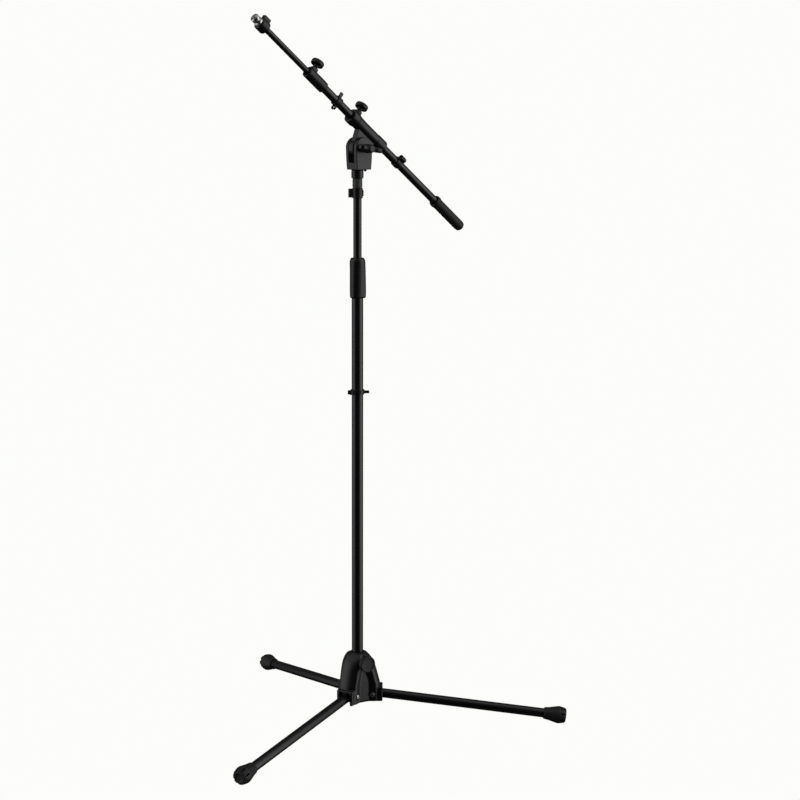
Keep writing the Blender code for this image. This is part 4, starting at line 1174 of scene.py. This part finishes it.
@dataclass
class Studio:
    """The white backdrop, the soft light and the camera."""

    backdrop_radius: float = 14.0
    lens: float = 90.0  # millimetres, on a sensor 36 mm wide
    camera_place: tuple[float, float, float] = (0.082, -3.8, 1.29)  # from the mast's foot
    camera_pitch: float = -9.6  # degrees
    camera_roll: float = 0.205  # degrees
    # Light from the directions along each axis, as (direction, brightness) from -1 to 1: bright bands
    # at both sides, dark in front of the stand and behind it.
    sides: Stops = ((-1.0, 0.85), (0.0, 0.95), (1.0, 1.25))
    depth: Stops = ((-1.0, 0.02), (-0.75, 0.03), (-0.38, 1.5), (-0.05, 1.7), (0.30, 0.7), (0.60, 0.10),
                    (1.0, 0.05))
    height: Stops = ((-1.0, 0.03), (-0.55, 0.05), (-0.28, 0.9), (0.35, 1.0), (0.7, 0.55), (1.0, 0.40))

    def build(self) -> None:
        """Builds the studio."""
        self.backdrop()
        self.light()
        self.camera()

    def backdrop(self) -> None:
        """White paper far behind the stand on every side, lit so evenly that it shows no shadow."""
        work = bmesh.new()
        bmesh.ops.create_icosphere(work, subdivisions=4, radius=self.backdrop_radius)
        mesh = finished_mesh(work, shift(MAST.matrix.translation.x))
        paper = bpy.data.materials.new("backdrop_paper")
        paper.use_nodes = True
        shader = paper.node_tree.nodes["Principled BSDF"]
        shader.inputs["Base Color"].default_value = linear("#000000")
        shader.inputs["Roughness"].default_value = 0.9
        shader.inputs["Specular IOR Level"].default_value = 0.0
        shader.inputs["Emission Color"].default_value = linear("#fcfdfa")
        shader.inputs["Emission Strength"].default_value = 1.0
        mesh.materials.append(paper)
        made = linked("backdrop", mesh)
        made.visible_glossy = False
        made.visible_diffuse = False
        made.visible_shadow = False

    def light(self) -> None:
        """Soft light from both sides and from above, with no light from the front or the back."""
        world = bpy.data.worlds.new("studio_light")
        bpy.context.scene.world = world
        world.use_nodes = True
        tree = world.node_tree
        direction = add_node(tree, "ShaderNodeTexCoord").outputs["Generated"]
        split = add_node(tree, "ShaderNodeSeparateXYZ", {0: direction})
        side, deep, high = (self.ramp(tree, split.outputs[axis], stops)
                            for axis, stops in zip("XYZ", (self.sides, self.depth, self.height)))
        level = add_node(tree, "ShaderNodeMath", {0: deep, 1: side}, operation="MULTIPLY")
        product = add_node(tree, "ShaderNodeMath", {0: level.outputs[0], 1: high}, operation="MULTIPLY")
        background = tree.nodes["Background"]
        background.inputs["Color"].default_value = linear("#fbfdfb")
        tree.links.new(product.outputs[0], background.inputs["Strength"])
        bpy.context.scene.view_settings.view_transform = "Standard"

    def ramp(self, tree: bpy.types.NodeTree, value: bpy.types.NodeSocket,
             stops: Stops) -> bpy.types.NodeSocket:
        """A smooth curve through a few stops.

        Args:
            tree: The world's tree.
            value: The value from -1 to 1 that it reads.
            stops: (value, brightness) pairs.

        Returns:
            The socket that gives the brightness.
        """
        peak = max(level for _, level in stops)
        scaled = add_node(tree, "ShaderNodeMapRange", {"Value": value, "From Min": -1.0})
        ramp = add_node(tree, "ShaderNodeValToRGB", {0: scaled.outputs[0]})
        ramp.color_ramp.interpolation = "EASE"
        elements = ramp.color_ramp.elements
        while len(elements) < len(stops):
            elements.new(0.5)
        for element, (at, level) in zip(elements, stops):
            element.position = (at + 1) / 2
            element.color = (level / peak, level / peak, level / peak, 1)
        scaled_back = add_node(tree, "ShaderNodeMath", {0: ramp.outputs[0], 1: peak}, operation="MULTIPLY")
        return scaled_back.outputs[0]

    def camera(self) -> None:
        """A long lens a little above the stand, looking slightly down."""
        lens = bpy.data.cameras.new("camera")
        lens.lens = self.lens
        lens.sensor_width = 36
        lens.clip_end = 60
        camera = bpy.data.objects.new("camera", lens)
        bpy.context.scene.collection.objects.link(camera)
        place = shift(MAST.matrix.translation.x) @ shift(*self.camera_place)
        camera.matrix_world = place @ turn(90 + self.camera_pitch, "X") @ turn(self.camera_roll, "Z")
        bpy.context.scene.camera = camera


# ---------------------------------------------------------------- the frame's own axes
def box_centre(node: str) -> Vector:
    """The middle of a CAD node's box."""
    low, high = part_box(node)
    return (low + high) / 2


def station_of(joint: str) -> float:
    """How far along the boom a knob's axis crosses it, from the boom's pivot."""
    return (Vector(joint_named(joint)["pos_m"]) - PIVOT).dot(BOOM_AXIS)


MAST = Line(shift(box_centre("mast_lower_tube").x))
PIVOT = Vector(joint_named("boom_tilt")["pos_m"])
BOOM_AXIS = Vector(joint_named("boom_slide")["axis"]).normalized()
BOOM_UP = Vector(joint_named("main_knob_turn")["axis"]).normalized()
PIVOT_FRAME = basis(PIVOT, BOOM_UP, BOOM_AXIS)
BOOM_RISE = (Vector(joint_named("main_knob_turn")["pos_m"]) - PIVOT).dot(BOOM_UP)
BOOM = Line(PIVOT_FRAME @ shift(z=BOOM_RISE) @ ALONG_X)


def dress_the_rest() -> None:
    """Gives every CAD node that still shows the finish of its slot."""
    by_material = {"powder": POWDER, "casting": CASTING, "nylon": NYLON, "rubber": RUBBER,
                   "chrome": CHROME, "zinc": ZINC, "brass": BRASS}
    for name, node in frame["nodes"].items():
        if node.hide_render:
            continue
        for slot in node.material_slots:
            found = [finish for word, finish in by_material.items() if word in slot.material.name]
            slot.material = (found or [NYLON])[0].material()
        LOG.info("%s keeps its frame mesh", name)


def main() -> None:
    """Builds every sub-assembly, then the studio."""
    logging.basicConfig(level=logging.INFO, format="%(message)s")
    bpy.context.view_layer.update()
    for assembly in (TripodBase(), Mast(), BoomHead(), MainClamp(), Boom()):
        assembly.build()
    dress_the_rest()
    Studio().build()


if __name__ == "__main__":
    main()
